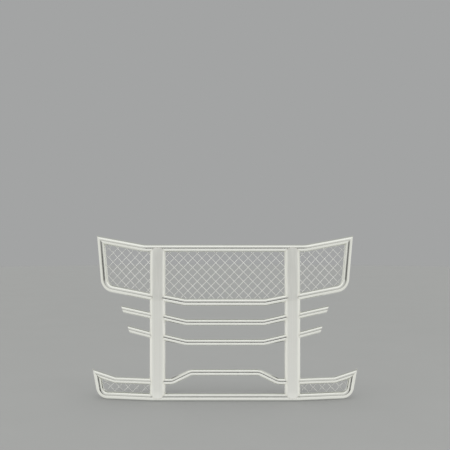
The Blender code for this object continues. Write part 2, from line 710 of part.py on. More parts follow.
def turned(name, profile, side, across, material, steps=24):
    """Turned piece along X: profile holds (radius, outward X) from its outer end to its inner end."""
    work = bmesh.new()
    verts = [work.verts.new((radius, 0.0, x)) for radius, x in profile]
    for first, second in zip(verts, verts[1:]):
        work.edges.new((first, second))
    if profile[0][0] > 0.0:
        work.edges.new((verts[-1], verts[0]))
    mesh = bpy.data.meshes.new(name)
    work.to_mesh(mesh)
    work.free()
    part = add_part(name, mesh, material, (0.0, across[0], across[1]))
    part.rotation_euler = (0.0, side * math.pi / 2, 0.0)
    screw = part.modifiers.new("turn", 'SCREW')
    screw.axis = 'Z'
    screw.steps = steps
    screw.render_steps = steps
    screw.use_merge_vertices = True
    screw.merge_threshold = 0.0001
    screw.use_smooth_shade = False
    return part


def build_latch(side, label):
    """Sprung latch pin in its guide: drawn at rest, it slides inwards through the latch lug."""
    across = (GUARD_Y + LATCH_Y, LATCH_Z)
    start = CHEEK_END + GAP
    bore_end = GUIDE_END - GUIDE_WALL
    guide = [(GUIDE_R, GUIDE_END), (GUIDE_R, start), (GUIDE_BORE_R, start), (GUIDE_BORE_R, bore_end),
             (PIN_R + PIN_FIT, bore_end), (PIN_R + PIN_FIT, GUIDE_END)]
    turned("latch_guide_" + label, guide, side, across, BRACKET_STEEL)

    tail = PIN_PARKED + PIN_LENGTH
    tip_chamfer = 0.002
    pin = [(0.0, tail), (PIN_R - 0.001, tail), (PIN_R, tail - 0.001), (PIN_R, COLLAR_AT + COLLAR_THICK),
           (COLLAR_R, COLLAR_AT + COLLAR_THICK), (COLLAR_R, COLLAR_AT), (PIN_R, COLLAR_AT),
           (PIN_R, PIN_PARKED + tip_chamfer), (PIN_R - tip_chamfer, PIN_PARKED), (0.0, PIN_PARKED)]
    pin_part = turned("latch_pin_" + label, pin, side, across, ZINC_STEEL)
    handle_x = side * HANDLE_AT
    cross_hole = add_cutter("handle_hole_" + label,
                            bar_along('Z', HANDLE_R + GAP, LATCH_Z - 0.03, LATCH_Z + 0.03,
                                      (handle_x, across[0]), 16))
    combine(pin_part, cross_hole)
    handle = bar_along('Z', HANDLE_R, LATCH_Z - 0.024, LATCH_Z + 0.040, (handle_x, across[0]), 16)
    add_part("latch_handle_" + label, handle, ZINC_STEEL)

    low = COLLAR_AT + COLLAR_THICK + GAP + SPRING_WIRE_R
    high = bore_end - GAP - SPRING_WIRE_R
    points_per_turn = 8
    coil = []
    for i in range(SPRING_TURNS * points_per_turn + 1):
        angle = 2 * math.pi * i / points_per_turn
        x = low + (high - low) * i / (SPRING_TURNS * points_per_turn)
        coil.append(Vector((side * x, across[0] + SPRING_R * math.cos(angle), LATCH_Z + SPRING_R * math.sin(angle))))
    add_part("latch_spring_" + label, sweep(coil, SPRING_WIRE_R, capped=True, sides=8), SPRING_STEEL)


# --- assembly ---------------------------------------------------------------------------------

def weld_cut_edges():
    """Merge the needle-thin faces that a cope can leave where facet edges nearly meet."""
    for part in PARTS.objects:
        if any(modifier.type == 'BOOLEAN' for modifier in part.modifiers):
            weld = part.modifiers.new("weld", 'WELD')
            weld.merge_threshold = 0.00005


def build_guard():
    top_corners = [guard_point(0.0, TOP_Z), Vector((TOP_BEND_X, guard_point(0.0, TOP_Z).y, TOP_Z)),
                   guard_point(*TOP_CORNER)]
    top_half = stretch_end(bent_path(top_corners, 0.15)[1:], 2 * MAIN_R)
    hoop_slope = (HOOP_BEND[1] - HOOP_ROOT_Z) / (HOOP_BEND[0] - UPRIGHT_OUT)
    hoop = bent_path(wing_root(HOOP_ROOT_Z, hoop_slope) + [guard_point(*HOOP_BEND), guard_point(*TOP_CORNER)],
                     HOOP_BEND_R)
    bottom_corners = [guard_point(0.0, BOTTOM_Z), Vector((BOTTOM_PLAN_BEND_X, GUARD_Y, BOTTOM_Z)),
                      guard_point(BOTTOM_BEND_X, BOTTOM_Z), guard_point(*POCKET_CORNER)]
    bottom_half = bent_path(bottom_corners, BOTTOM_BEND_R)[1:]
    pocket_half = bent_path(wing_root(POCKET_Z, 0.0) + [guard_point(POCKET_RISE_X, POCKET_Z),
                                                        guard_point(*POCKET_CORNER)], WING_BEND_R)

    top_cutter = add_cutter("top_rail_cope", sweep(mirrored(top_half), clear_radius(MAIN_R), capped=True))
    bottom_cutter = add_cutter("bottom_rail_cope",
                               sweep(mirrored(bottom_half), clear_radius(MAIN_R), capped=True))
    copers = build_uprights(bottom_cutter, top_cutter)
    build_top_rail(top_half)
    build_side_hoops(hoop, copers)
    build_centre_rails(copers)
    build_stubs(copers)
    build_arch_rail(copers)
    build_bottom_rail(bottom_half, pocket_half, copers)
    build_mesh_panels(hoop, bottom_half)


build_guard()
for side_sign, side_label in SIDE_NAMES.items():
    build_lugs(side_sign, side_label)
    build_bracket(side_sign, side_label)
    build_pivot_bolt(side_sign, side_label)
    build_latch(side_sign, side_label)
weld_cut_edges()
bpy.context.view_layer.update()
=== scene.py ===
"""Front grille guard for a cab-over truck, in its finished materials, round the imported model.

The guard is built here in the order a workshop builds it: the two uprights, the bent tubes, the welds, the
wire panels, and then the tilting brackets behind it with their pivots, latches and buffers.
Units are metres, +Z is up and the guard faces -Y.
"""
import json
import math

import bmesh
import bpy
from mathutils import Matrix, Vector


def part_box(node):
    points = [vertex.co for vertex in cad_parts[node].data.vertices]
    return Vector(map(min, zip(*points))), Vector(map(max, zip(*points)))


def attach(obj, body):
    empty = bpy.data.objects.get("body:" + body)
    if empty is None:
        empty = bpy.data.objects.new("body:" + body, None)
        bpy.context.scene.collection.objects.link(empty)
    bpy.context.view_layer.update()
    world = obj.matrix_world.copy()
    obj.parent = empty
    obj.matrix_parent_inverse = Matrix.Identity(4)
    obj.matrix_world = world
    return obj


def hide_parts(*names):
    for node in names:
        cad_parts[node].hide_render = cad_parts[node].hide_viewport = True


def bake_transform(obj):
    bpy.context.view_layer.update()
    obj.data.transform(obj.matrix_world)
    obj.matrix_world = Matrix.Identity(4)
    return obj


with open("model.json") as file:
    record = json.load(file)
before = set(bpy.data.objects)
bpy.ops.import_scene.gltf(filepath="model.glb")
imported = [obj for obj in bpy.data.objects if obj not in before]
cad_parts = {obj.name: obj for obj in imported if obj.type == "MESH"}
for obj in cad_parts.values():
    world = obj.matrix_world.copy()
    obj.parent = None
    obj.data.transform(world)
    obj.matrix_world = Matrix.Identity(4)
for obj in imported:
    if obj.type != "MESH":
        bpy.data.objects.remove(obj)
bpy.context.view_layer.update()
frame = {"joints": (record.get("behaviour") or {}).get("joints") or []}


# --- studio -----------------------------------------------------------------------------------
# A long lens at eye height, square on to the guard, over a pale matt floor. A bright room and two
# softboxes give the even light; a dark band on the wall that the guard faces draws the line that runs
# along the middle of every polished tube.

GUARD_Y = -0.140                       # plane of the tube centre lines


def linear(colour):
    """Linear RGBA of an sRGB hex colour."""
    values = []
    for start in (1, 3, 5):
        value = int(colour[start:start + 2], 16) / 255
        values.append(value / 12.92 if value <= 0.04045 else ((value + 0.055) / 1.055) ** 2.4)
    return (*values, 1.0)


def feed(tree, node, inputs):
    """Link each input given as a socket, or as a node for its first output, and set any other."""
    for key, value in inputs.items():
        if isinstance(value, bpy.types.Node):
            value = value.outputs[0]
        if isinstance(value, bpy.types.NodeSocket):
            tree.links.new(value, node.inputs[key])
        else:
            node.inputs[key].default_value = value


def add_node(tree, kind, settings=None, inputs=None):
    """Add one node with its settings and inputs."""
    made = tree.nodes.new(kind)
    for key, value in (settings or {}).items():
        setattr(made, key, value)
    feed(tree, made, inputs or {})
    return made


def make_camera():
    distance = 7.0                     # from the plane of the tube centre lines
    picture_width = 4.005              # what the picture takes in at that plane
    eye_height = 1.562
    lens = bpy.data.cameras.new("camera")
    lens.sensor_width = 36.0
    lens.lens = lens.sensor_width * distance / picture_width
    camera = bpy.data.objects.new("camera", lens)
    camera.location = (0.0, GUARD_Y - distance, eye_height)
    camera.rotation_euler = (math.pi / 2, 0.0, 0.0)
    bpy.context.scene.collection.objects.link(camera)
    bpy.context.scene.camera = camera


def make_room_light():
    """Bright room: the wall that the guard faces has a dark band at eye level, which fades out to each
    side, and the wall behind the guard is a plain mid grey. The camera sees a pale grey backdrop."""
    world = bpy.data.worlds.new("room")
    bpy.context.scene.world = world
    world.use_nodes = True
    tree = world.node_tree
    tree.nodes.clear()
    direction = add_node(tree, "ShaderNodeTexCoord").outputs["Generated"]
    parts = add_node(tree, "ShaderNodeSeparateXYZ", inputs={0: direction})
    rise = add_node(tree, "ShaderNodeMapRange", inputs={0: parts.outputs["Z"], 1: -1.0, 2: 1.0})
    height = add_node(tree, "ShaderNodeValToRGB", inputs={0: rise})
    ramp = height.color_ramp
    # (how far from straight down to straight up, tone there)
    steps = ((0.0, 0.98), (0.20, 1.00), (0.34, 1.20), (0.42, 1.36), (0.44, 0.03), (0.58, 0.03),
             (0.61, 0.60), (0.80, 0.82), (1.0, 0.90))
    while len(ramp.elements) < len(steps):
        ramp.elements.new(0.5)
    for element, (place, tone) in zip(ramp.elements, steps):
        element.position = place
        element.color = (tone, tone, tone, 1.0)
    behind = add_node(tree, "ShaderNodeMapRange", {"interpolation_type": 'SMOOTHSTEP'},
                      {0: parts.outputs["Y"], 1: -0.05, 2: 0.35})
    walls = add_node(tree, "ShaderNodeMix", {"data_type": 'RGBA'},
                     {0: behind, 6: height, 7: (0.50, 0.51, 0.50, 1.0)})
    off_centre = add_node(tree, "ShaderNodeMath", {"operation": 'ABSOLUTE'}, {0: parts.outputs["X"]})
    sideways = add_node(tree, "ShaderNodeMapRange", {"interpolation_type": 'SMOOTHSTEP'},
                        {0: off_centre, 1: 0.04, 2: 0.90})
    room = add_node(tree, "ShaderNodeMix", {"data_type": 'RGBA'},
                    {0: sideways, 6: walls.outputs[2], 7: (1.0, 1.0, 0.98, 1.0)})
    glow = add_node(tree, "ShaderNodeBackground", inputs={0: room.outputs[2], 1: 1.0})
    backdrop = add_node(tree, "ShaderNodeBackground", inputs={0: linear("#a3a4a4"), 1: 1.0})
    seen = add_node(tree, "ShaderNodeLightPath").outputs["Is Camera Ray"]
    both = add_node(tree, "ShaderNodeMixShader", inputs={0: seen, 1: glow, 2: backdrop})
    add_node(tree, "ShaderNodeOutputWorld", inputs={0: both})


def make_softbox(name, place, target, size, power):
    """Rectangular soft lamp that faces its target."""
    lamp = bpy.data.lights.new(name, 'AREA')
    lamp.shape = 'RECTANGLE'
    lamp.size, lamp.size_y = size
    lamp.energy = power
    box = bpy.data.objects.new(name, lamp)
    box.location = place
    box.rotation_euler = (Vector(target) - Vector(place)).to_track_quat('-Z', 'Y').to_euler()
    bpy.context.scene.collection.objects.link(box)


def start_material(name, colour, metallic, roughness):
    """New material with its Principled shader's constant values set."""
    material = bpy.data.materials.new(name)
    material.use_nodes = True
    shader = material.node_tree.nodes["Principled BSDF"]
    feed(material.node_tree, shader, {"Base Color": linear(colour), "Metallic": metallic,
                                      "Roughness": roughness})
    return material, material.node_tree, shader


def make_floor():
    """Rolled matt paint: even and pale, with the soft mottling of a roller."""
    material, tree, shader = start_material("matt_studio_floor_paint", "#aaabaa", 0.0, 0.75)
    spot = add_node(tree, "ShaderNodeTexCoord").outputs["Object"]
    mottle = add_node(tree, "ShaderNodeTexNoise", inputs={"Vector": spot, "Scale": 1.5, "Detail": 3.0})
    tone = add_node(tree, "ShaderNodeMix", {"data_type": 'RGBA'},
                    {0: mottle, 6: linear("#a9aaa9"), 7: linear("#adaead")})
    feed(tree, shader, {"Base Color": tone.outputs[2]})
    work = bmesh.new()
    bmesh.ops.create_circle(work, cap_ends=True, segments=96, radius=24.0)
    mesh = bpy.data.meshes.new("floor")
    work.to_mesh(mesh)
    work.free()
    mesh.materials.append(material)
    floor = bpy.data.objects.new("floor", mesh)
    floor.location.z = -0.002          # just clear of the bottom rail
    floor.visible_glossy = False       # in the metal, the lower half of the room stands for the lit floor
    bpy.context.scene.collection.objects.link(floor)


bpy.context.scene.view_settings.view_transform = 'Standard'
make_camera()
make_room_light()
make_softbox("ceiling_softbox", (0.0, -1.6, 4.6), (0.0, -0.1, 0.6), (6.0, 3.0), 18.0)
make_softbox("front_softbox", (-2.6, -6.0, 3.4), (0.0, 0.0, 0.7), (2.6, 1.8), 2.0)
make_floor()


# --- uprights ---------------------------------------------------------------------------------
# Two flat-oval extruded aluminium posts carry everything else. Each is two lengths butted at a level
# seam, from where the upper length leans back. Their ends are saddled to the top and bottom rails, and
# a short tongue of each laps over the rail's middle.

MAIN_R = 0.0335                        # outer frame tubes, and the round sides of the posts
UPRIGHT_X = 0.600
UPRIGHT_WIDTH = 0.138
UPRIGHT_WALL = 0.005
UPRIGHT_OUT = UPRIGHT_X + UPRIGHT_WIDTH / 2
KINK_Z = 0.895                         # height of the level seam
LEAN = math.tan(math.radians(4.0))     # the upper frame leans back
SWEEP = math.tan(math.radians(10.6))   # the wings run back
WING_X = 0.640                         # where the wings begin
TOP_Z = 1.354
BOTTOM_Z = MAIN_R
SIDE_NAMES = {1: "right", -1: "left"}
JOINT_GAP = 0.0002                     # the hairline left between two fitted pieces


def add_object(name, data):
    made = bpy.data.objects.new(name, data)
    bpy.context.scene.collection.objects.link(made)
    return made


def settle(carrier):
    """Plain mesh of an object with its modifiers worked in; the object itself is removed."""
    bpy.context.view_layer.update()
    graph = bpy.context.evaluated_depsgraph_get()
    mesh = bpy.data.meshes.new_from_object(carrier.evaluated_get(graph))
    mesh.transform(carrier.matrix_world)
    bpy.data.objects.remove(carrier, do_unlink=True)
    return mesh


def show_mesh(name, mesh, material, smooth_angle):
    """Object that shows a mesh in its material, smooth but for the edges that turn more than an angle."""
    mesh.name = name
    mesh.materials.clear()
    mesh.materials.append(material)
    mesh.shade_smooth()
    mesh.set_sharp_from_angle(angle=math.radians(smooth_angle))
    return add_object(name, mesh)


def finish_piece(name, mesh, material, body, slot, *nodes, smooth_angle=35.0):
    """Show a mesh as a piece that rides on a body and stands for the CAD nodes named."""
    piece = show_mesh(name, mesh, material, smooth_angle)
    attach(piece, body)
    if nodes:
        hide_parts(*nodes)


def arc(centre, radius, start, end, steps):
    """Points on an arc, both ends included; angles in radians."""
    points = []
    for i in range(steps + 1):
        angle = start + (end - start) * i / steps
        points.append((centre[0] + radius * math.cos(angle), centre[1] + radius * math.sin(angle)))
    return points


def flat_shape(outlines, thickness, edge=0.0):
    """Plate in local XY with edges rounded by edge; every outline after the first is a hole."""
    curve = bpy.data.curves.new("outline", 'CURVE')
    curve.dimensions = '2D'
    curve.fill_mode = 'BOTH'
    curve.extrude = thickness / 2 - edge
    curve.bevel_depth = edge
    curve.bevel_resolution = 1
    curve.offset = -edge
    for outline in outlines:
        spline = curve.splines.new('POLY')
        spline.points.add(len(outline) - 1)
        spline.use_cyclic_u = True
        for point, (x, y) in zip(spline.points, outline):
            point.co = (x, y, 0.0, 1.0)
    mesh = settle(add_object("outline", curve))
    work = bmesh.new()
    work.from_mesh(mesh)
    bmesh.ops.remove_doubles(work, verts=work.verts, dist=0.00001)
    work.to_mesh(mesh)
    work.free()
    return mesh


def oval_bar(centre_x, low, high, grow=0.0):
    """Flat-oval bar, grown all round from the post's size: vertical below the seam, leaning back above."""
    reach = UPRIGHT_WIDTH / 2 - MAIN_R
    radius = MAIN_R + grow
    steps = 20
    outline = arc((centre_x + reach, GUARD_Y), radius, -math.pi / 2, math.pi / 2, steps)
    outline += arc((centre_x - reach, GUARD_Y), radius, math.pi / 2, 3 * math.pi / 2, steps)
    mesh = flat_shape([outline], high - low)
    mesh.transform(Matrix.Translation((0.0, 0.0, (low + high) / 2)))
    work = bmesh.new()
    work.from_mesh(mesh)
    if low < KINK_Z < high:
        everything = work.verts[:] + work.edges[:] + work.faces[:]
        bmesh.ops.bisect_plane(work, geom=everything, plane_co=(0, 0, KINK_Z), plane_no=(0, 0, 1))
    for vertex in work.verts:
        vertex.co.y += max(0.0, vertex.co.z - KINK_Z) * LEAN
    work.to_mesh(mesh)
    work.free()
    return mesh


def to_side(points, side):
    """Points of the right side, or the same points mirrored to the left."""
    return [point * Vector((side, 1.0, 1.0)) for point in points]


def guard_point(x, z):
    """Point on the guard's centre surface: straight middle, swept wings, leaning upper frame."""
    reach = max(0.0, abs(x) - WING_X)
    return Vector((x, GUARD_Y + reach * SWEEP + max(0.0, z - KINK_Z) * LEAN, z))


def bent_path(corners, radius):
    """Centre line of a bent tube: straight runs joined by arcs of one radius."""
    corners = [Vector(corner) for corner in corners]
    path = [corners[0]]
    for before, corner, after in zip(corners, corners[1:], corners[2:]):
        into = (corner - before).normalized()
        out = (after - corner).normalized()
        turn = into.angle(out)
        tangent = radius * math.tan(turn / 2)
        centre = corner + (out - into).normalized() * (radius / math.cos(turn / 2))
        start = corner - into * tangent
        axis = into.cross(out).normalized()
        steps = max(3, math.ceil(math.degrees(turn) / 4))
        for i in range(steps + 1):
            spin = Matrix.Rotation(turn * i / steps, 3, axis)
            path.append(centre + spin @ (start - centre))
    path.append(corners[-1])
    return path


def mirrored(points):
    """The same path on the other side of the truck, run from end to end through the middle."""
    left = [Vector((-point[0], point[1], point[2])) for point in reversed(points)]
    return left + [Vector(point) for point in points]


def stretch_end(path, extra):
    """Run the last straight of a path on by extra, so that it can be trimmed."""
    direction = (path[-1] - path[-2]).normalized()
    return path[:-1] + [path[-1] + direction * extra]


def new_tree(name, inputs):
    """Geometry Nodes tree with a geometry input, the named inputs and a geometry output."""
    tree = bpy.data.node_groups.new(name, 'GeometryNodeTree')
    tree.interface.new_socket("Geometry", in_out='INPUT', socket_type='NodeSocketGeometry')
    for label, kind in inputs.items():
        tree.interface.new_socket(label, in_out='INPUT', socket_type='NodeSocket' + kind)
    tree.interface.new_socket("Geometry", in_out='OUTPUT', socket_type='NodeSocketGeometry')
    return tree, add_node(tree, "NodeGroupInput").outputs


def end_tree(tree, geometry, material):
    """Close a tree with Realize Instances and Set Material."""
    real = add_node(tree, "GeometryNodeRealizeInstances", inputs={0: geometry})
    coated = add_node(tree, "GeometryNodeSetMaterial", inputs={"Geometry": real, "Material": material})
    add_node(tree, "NodeGroupOutput", inputs={0: coated})


def run_tree(tree, carrier, values):
    """Mesh that a tree makes from an object; inputs are set by their sockets' identifiers."""
    sockets = {item.name: item.identifier for item in tree.interface.items_tree if item.in_out == 'INPUT'}
    modifier = carrier.modifiers.new(tree.name, 'NODES')
    modifier.node_group = tree
    for label, value in values.items():
        modifier[sockets[label]] = value
    return settle(carrier)


def make_tube_tree():
    """Round skin along a path; "grain" holds straightened coordinates: run, and place round the tube."""
    tree, given = new_tree("tube_along_path", {"Radius": "Float", "Sides": "Int", "Capped": "Bool",
                                               "Metal": "Material"})
    run = add_node(tree, "GeometryNodeCaptureAttribute")
    run.capture_items.new('FLOAT', "Run")
    length = add_node(tree, "GeometryNodeSplineParameter").outputs["Length"]
    feed(tree, run, {"Geometry": given["Geometry"], "Run": length})
    ring = add_node(tree, "GeometryNodeCurvePrimitiveCircle",
                    inputs={"Resolution": given["Sides"], "Radius": given["Radius"]})
    around = add_node(tree, "GeometryNodeCaptureAttribute")
    around.capture_items.new('VECTOR', "Around")
    feed(tree, around, {"Geometry": ring, "Around": add_node(tree, "GeometryNodeInputPosition")})
    skin = add_node(tree, "GeometryNodeCurveToMesh", inputs={
        "Curve": run.outputs["Geometry"], "Profile Curve": around.outputs["Geometry"],
        "Fill Caps": given["Capped"]})
    place = add_node(tree, "ShaderNodeSeparateXYZ", inputs={0: around.outputs["Around"]})
    grain = add_node(tree, "ShaderNodeCombineXYZ", inputs={
        0: run.outputs["Run"], 1: place.outputs["X"], 2: place.outputs["Y"]})
    kept = add_node(tree, "GeometryNodeStoreNamedAttribute",
                    {"data_type": 'FLOAT_VECTOR', "domain": 'CORNER'},
                    {"Geometry": skin, "Name": "grain", "Value": grain})
    end_tree(tree, kept.outputs[0], given["Metal"])
    return tree


TUBE_TREE = make_tube_tree()
TUBE_SIDES = 56


def sweep(path, radius, capped=False, sides=TUBE_SIDES):
    """Round skin, or with its ends capped a rod, along the points of a path."""
    curve = bpy.data.curves.new("path", 'CURVE')
    curve.dimensions = '3D'
    spline = curve.splines.new('POLY')
    spline.points.add(len(path) - 1)
    for point, place in zip(spline.points, path):
        point.co = (*place, 1.0)
    return run_tree(TUBE_TREE, add_object("path", curve),
                    {"Radius": radius, "Sides": sides, "Capped": capped})


CUTTERS = []                           # solids that shape others; removed before the end


def cutter(name, mesh):
    """Hidden solid that cuts or meets other pieces."""
    solid = add_object(name, mesh)
    solid.hide_render = True
    CUTTERS.append(solid)
    return solid


def cut_from(solid, *tools):
    """Cut tools out of a mesh object and return the plain mesh."""
    for tool in tools:
        modifier = solid.modifiers.new("cut", 'BOOLEAN')
        modifier.operation = 'DIFFERENCE'
        modifier.object = tool
    weld = solid.modifiers.new("weld", 'WELD')
    weld.merge_threshold = 0.00002
    return settle(solid)


def brushed_upright_metal():
    """Extruded aluminium, brushed lengthwise with a fine abrasive pad and left uncoated: an even off-white
    satin whose vertical hairlines spread each highlight sideways, with faint die lines down its faces."""
    material, tree, shader = start_material("brushed_aluminium_extrusion", "#e7e8e1", 1.0, 0.46)
    spot = add_node(tree, "ShaderNodeTexCoord").outputs["Object"]
    # hairlines are 0.1 mm wide on the real face; drawn 1.2 mm wide so that they show
    strokes = add_node(tree, "ShaderNodeMapping", inputs={0: spot, "Scale": (830.0, 830.0, 4.0)})
    hairline = add_node(tree, "ShaderNodeTexNoise", inputs={"Vector": strokes, "Scale": 1.0,
                                                            "Detail": 4.0, "Roughness": 0.6})
    die = add_node(tree, "ShaderNodeMapping", inputs={0: spot, "Scale": (75.0, 75.0, 0.3)})
    die_line = add_node(tree, "ShaderNodeTexNoise", inputs={"Vector": die, "Scale": 1.0, "Detail": 2.0})
    haze = add_node(tree, "ShaderNodeTexNoise", inputs={"Vector": spot, "Scale": 9.0, "Detail": 3.0})
    polish = add_node(tree, "ShaderNodeMath", {"operation": 'MULTIPLY_ADD'},
                      {0: hairline, 1: 0.12, 2: 0.38})
    rough = add_node(tree, "ShaderNodeMath", {"operation": 'MULTIPLY_ADD'},
                     {0: haze, 1: 0.12, 2: polish})
    tone = add_node(tree, "ShaderNodeMix", {"data_type": 'RGBA'},
                    {0: die_line, 6: linear("#e4e5de"), 7: linear("#f3f3ee")})
    relief = add_node(tree, "ShaderNodeBump", inputs={"Height": hairline, "Strength": 0.25,
                                                      "Distance": 0.00005})
    feed(tree, shader, {"Roughness": rough, "Base Color": tone.outputs[2], "Normal": relief})
    return material


UPRIGHT_METAL = brushed_upright_metal()

# centre lines of the two rails that the posts end on, from the middle out; corners are (across, height)
TOP_BEND_X = 0.717
TOP_BEND_R = 0.150
TOP_CORNER = (1.1224, 1.426)
top_corners = [guard_point(0.0, TOP_Z), Vector((TOP_BEND_X, guard_point(0.0, TOP_Z).y, TOP_Z)),
               guard_point(*TOP_CORNER)]
top_half = stretch_end(bent_path(top_corners, TOP_BEND_R)[1:], 2 * MAIN_R)
BOTTOM_SWEEP_X = 0.655
BOTTOM_BEND_X = 1.116
BOTTOM_BEND_R = 0.078
POCKET_CORNER = (1.151, 0.219)
bottom_corners = [guard_point(0.0, BOTTOM_Z), Vector((BOTTOM_SWEEP_X, GUARD_Y, BOTTOM_Z)),
                  guard_point(BOTTOM_BEND_X, BOTTOM_Z), guard_point(*POCKET_CORNER)]
bottom_half = bent_path(bottom_corners, BOTTOM_BEND_R)[1:]
bottom_half_long = stretch_end(bottom_half, 2 * MAIN_R)

OVERRUN = 0.1                          # how far a shaping solid runs on past what it shapes
TONGUE = 0.010                         # how far each post's face laps over the middle of a rail
SKIN = 0.0005                          # what covers the rail there, so that the face runs on unbroken
SKIN_REACH = 0.060                     # height over which the skin fades out, from the rail's middle


def post_bar(centre_x, low, high):
    """Post's outer form: swelled by its skin near a rail, narrowed to a tongue past the rail's middle."""
    mesh = oval_bar(centre_x, low, high)
    work = bmesh.new()
    work.from_mesh(mesh)
    for level in (BOTTOM_Z, BOTTOM_Z + SKIN_REACH, TOP_Z - SKIN_REACH, TOP_Z):
        everything = work.verts[:] + work.edges[:] + work.faces[:]
        bmesh.ops.bisect_plane(work, geom=everything, plane_co=(0, 0, level), plane_no=(0, 0, 1))
    for vertex in work.verts:
        beyond = max(0.0, vertex.co.z - TOP_Z, BOTTOM_Z - vertex.co.z)
        vertex.co.x = centre_x + (vertex.co.x - centre_x) * (1 - 0.5 * beyond / TONGUE)
        near_rail = not BOTTOM_Z + SKIN_REACH / 2 < vertex.co.z < TOP_Z - SKIN_REACH / 2
        if near_rail:
            depth = vertex.co.y - guard_point(centre_x, vertex.co.z).y
            vertex.co.y += depth * SKIN / MAIN_R
    work.to_mesh(mesh)
    work.free()
    return mesh


top_solid = cutter("top_rail_solid", sweep(mirrored(top_half), MAIN_R + JOINT_GAP, capped=True))
bottom_solid = cutter("bottom_rail_solid",
                      sweep(mirrored(bottom_half_long), MAIN_R + JOINT_GAP, capped=True))
upright_solids = {}
for side, label in SIDE_NAMES.items():
    x = side * UPRIGHT_X
    hollow = cutter("upright_hollow_" + label,
                    oval_bar(x, BOTTOM_Z - OVERRUN, TOP_Z + OVERRUN, -UPRIGHT_WALL))
    upright_solids[side] = cutter("upright_solid_" + label,
                                  oval_bar(x, BOTTOM_Z - OVERRUN, TOP_Z + OVERRUN, JOINT_GAP))
    lengths = {"lower": (BOTTOM_Z - TONGUE, KINK_Z - JOINT_GAP, bottom_solid),
               "upper": (KINK_Z, TOP_Z + TONGUE, top_solid)}
    for level, (low, high, rail) in lengths.items():
        mesh = cut_from(add_object("upright", post_bar(x, low, high)), hollow, rail)
        name = level + "_" + label
        finish_piece("upright_post_" + name, mesh, UPRIGHT_METAL, "guard", "satin_upright",
                     "upright_" + name)


# --- bent tubes -------------------------------------------------------------------------------
# Round aluminium tubes, 67 mm for the outer frame and 60 mm for the rails, cold-bent, mitred at the
# outer corners and saddled to the uprights, then belt-ground along their length and buffed.

RAIL_R = 0.0300
TUBE_WALL = 0.004
BURIED_X = UPRIGHT_X                   # rails are drawn to here, then saddled to the upright


def buffed_tube_metal():
    """Drawn aluminium tube, ground lengthwise with a fine belt and buffed by hand: bright off-white metal
    with a soft sheen, hair-fine marks along each tube and cloudy patches where the mop dwelt."""
    material, tree, shader = start_material("buffed_aluminium_tube", "#d9dad4", 1.0, 0.16)
    grain = add_node(tree, "ShaderNodeAttribute", {"attribute_name": "grain"}).outputs["Vector"]
    # belt marks are 0.05 mm wide on the real tube; drawn 0.9 mm wide and 120 mm long so that they show
    marks = add_node(tree, "ShaderNodeMapping", inputs={0: grain, "Scale": (8.0, 1100.0, 1100.0)})
    mark = add_node(tree, "ShaderNodeTexNoise", inputs={"Vector": marks, "Scale": 1.0,
                                                        "Detail": 4.0, "Roughness": 0.65})
    mop = add_node(tree, "ShaderNodeMapping", inputs={0: grain, "Scale": (7.0, 22.0, 22.0)})
    cloud = add_node(tree, "ShaderNodeTexNoise", inputs={"Vector": mop, "Scale": 1.0, "Detail": 3.0})
    polish = add_node(tree, "ShaderNodeMath", {"operation": 'MULTIPLY_ADD'},
                      {0: mark, 1: 0.08, 2: 0.08})
    rough = add_node(tree, "ShaderNodeMath", {"operation": 'MULTIPLY_ADD'},
                     {0: cloud, 1: 0.08, 2: polish})
    tone = add_node(tree, "ShaderNodeMix", {"data_type": 'RGBA'},
                    {0: cloud, 6: linear("#d3d4cd"), 7: linear("#dfe0da")})
    relief = add_node(tree, "ShaderNodeBump", inputs={"Height": mark, "Strength": 0.2,
                                                      "Distance": 0.00004})
    feed(tree, shader, {"Roughness": rough, "Base Color": tone.outputs[2], "Normal": relief})
    return material


TUBE_METAL = buffed_tube_metal()
SMALL_BLOCK = 0.24                     # trims one tube's end without reaching its neighbours
LARGE_BLOCK = 0.50                     # trims a whole stub down to its end disc


def half_space(name, point, normal, size=SMALL_BLOCK):
    """Block whose face lies on the plane and whose body is on the far side of normal."""
    work = bmesh.new()
    bmesh.ops.create_cube(work, size=size)
    bmesh.ops.translate(work, verts=work.verts, vec=(0.0, 0.0, -size / 2))
    turn = Vector((0.0, 0.0, 1.0)).rotation_difference(Vector(normal)).to_matrix().to_4x4()
    bmesh.ops.transform(work, verts=work.verts, matrix=Matrix.Translation(point) @ turn)
    mesh = bpy.data.meshes.new(name)
    work.to_mesh(mesh)
    work.free()
    return cutter(name, mesh)


def mitre(name, corner, own_end, other_end):
    """Block that mitres one tube of a corner; the ends are the far points of the two tubes."""
    own = (Vector(own_end) - Vector(corner)).normalized()
    other = (Vector(other_end) - Vector(corner)).normalized()
    normal = (own - other).normalized()
    return half_space(name, Vector(corner) + normal * JOINT_GAP / 2, normal)


def tube(name, path, radius, tools, *nodes):
    """Walled tube along a path, cut by tools, that stands for its CAD nodes."""
    solid = add_object(name, sweep(path, radius))
    wall = solid.modifiers.new("wall", 'SOLIDIFY')
    wall.thickness = TUBE_WALL
    wall.offset = -1.0
    finish_piece(name, cut_from(solid, *tools), TUBE_METAL, "guard", "polished_tube", *nodes)


def wing_root(z_at_upright, slope):
    """First points of a wing tube: inside the upright, then where it turns back into the wing."""
    return [guard_point(x, z_at_upright + (x - UPRIGHT_OUT) * slope) for x in (BURIED_X, WING_X)]


both_uprights = list(upright_solids.values())
WING_BEND_R = 0.060

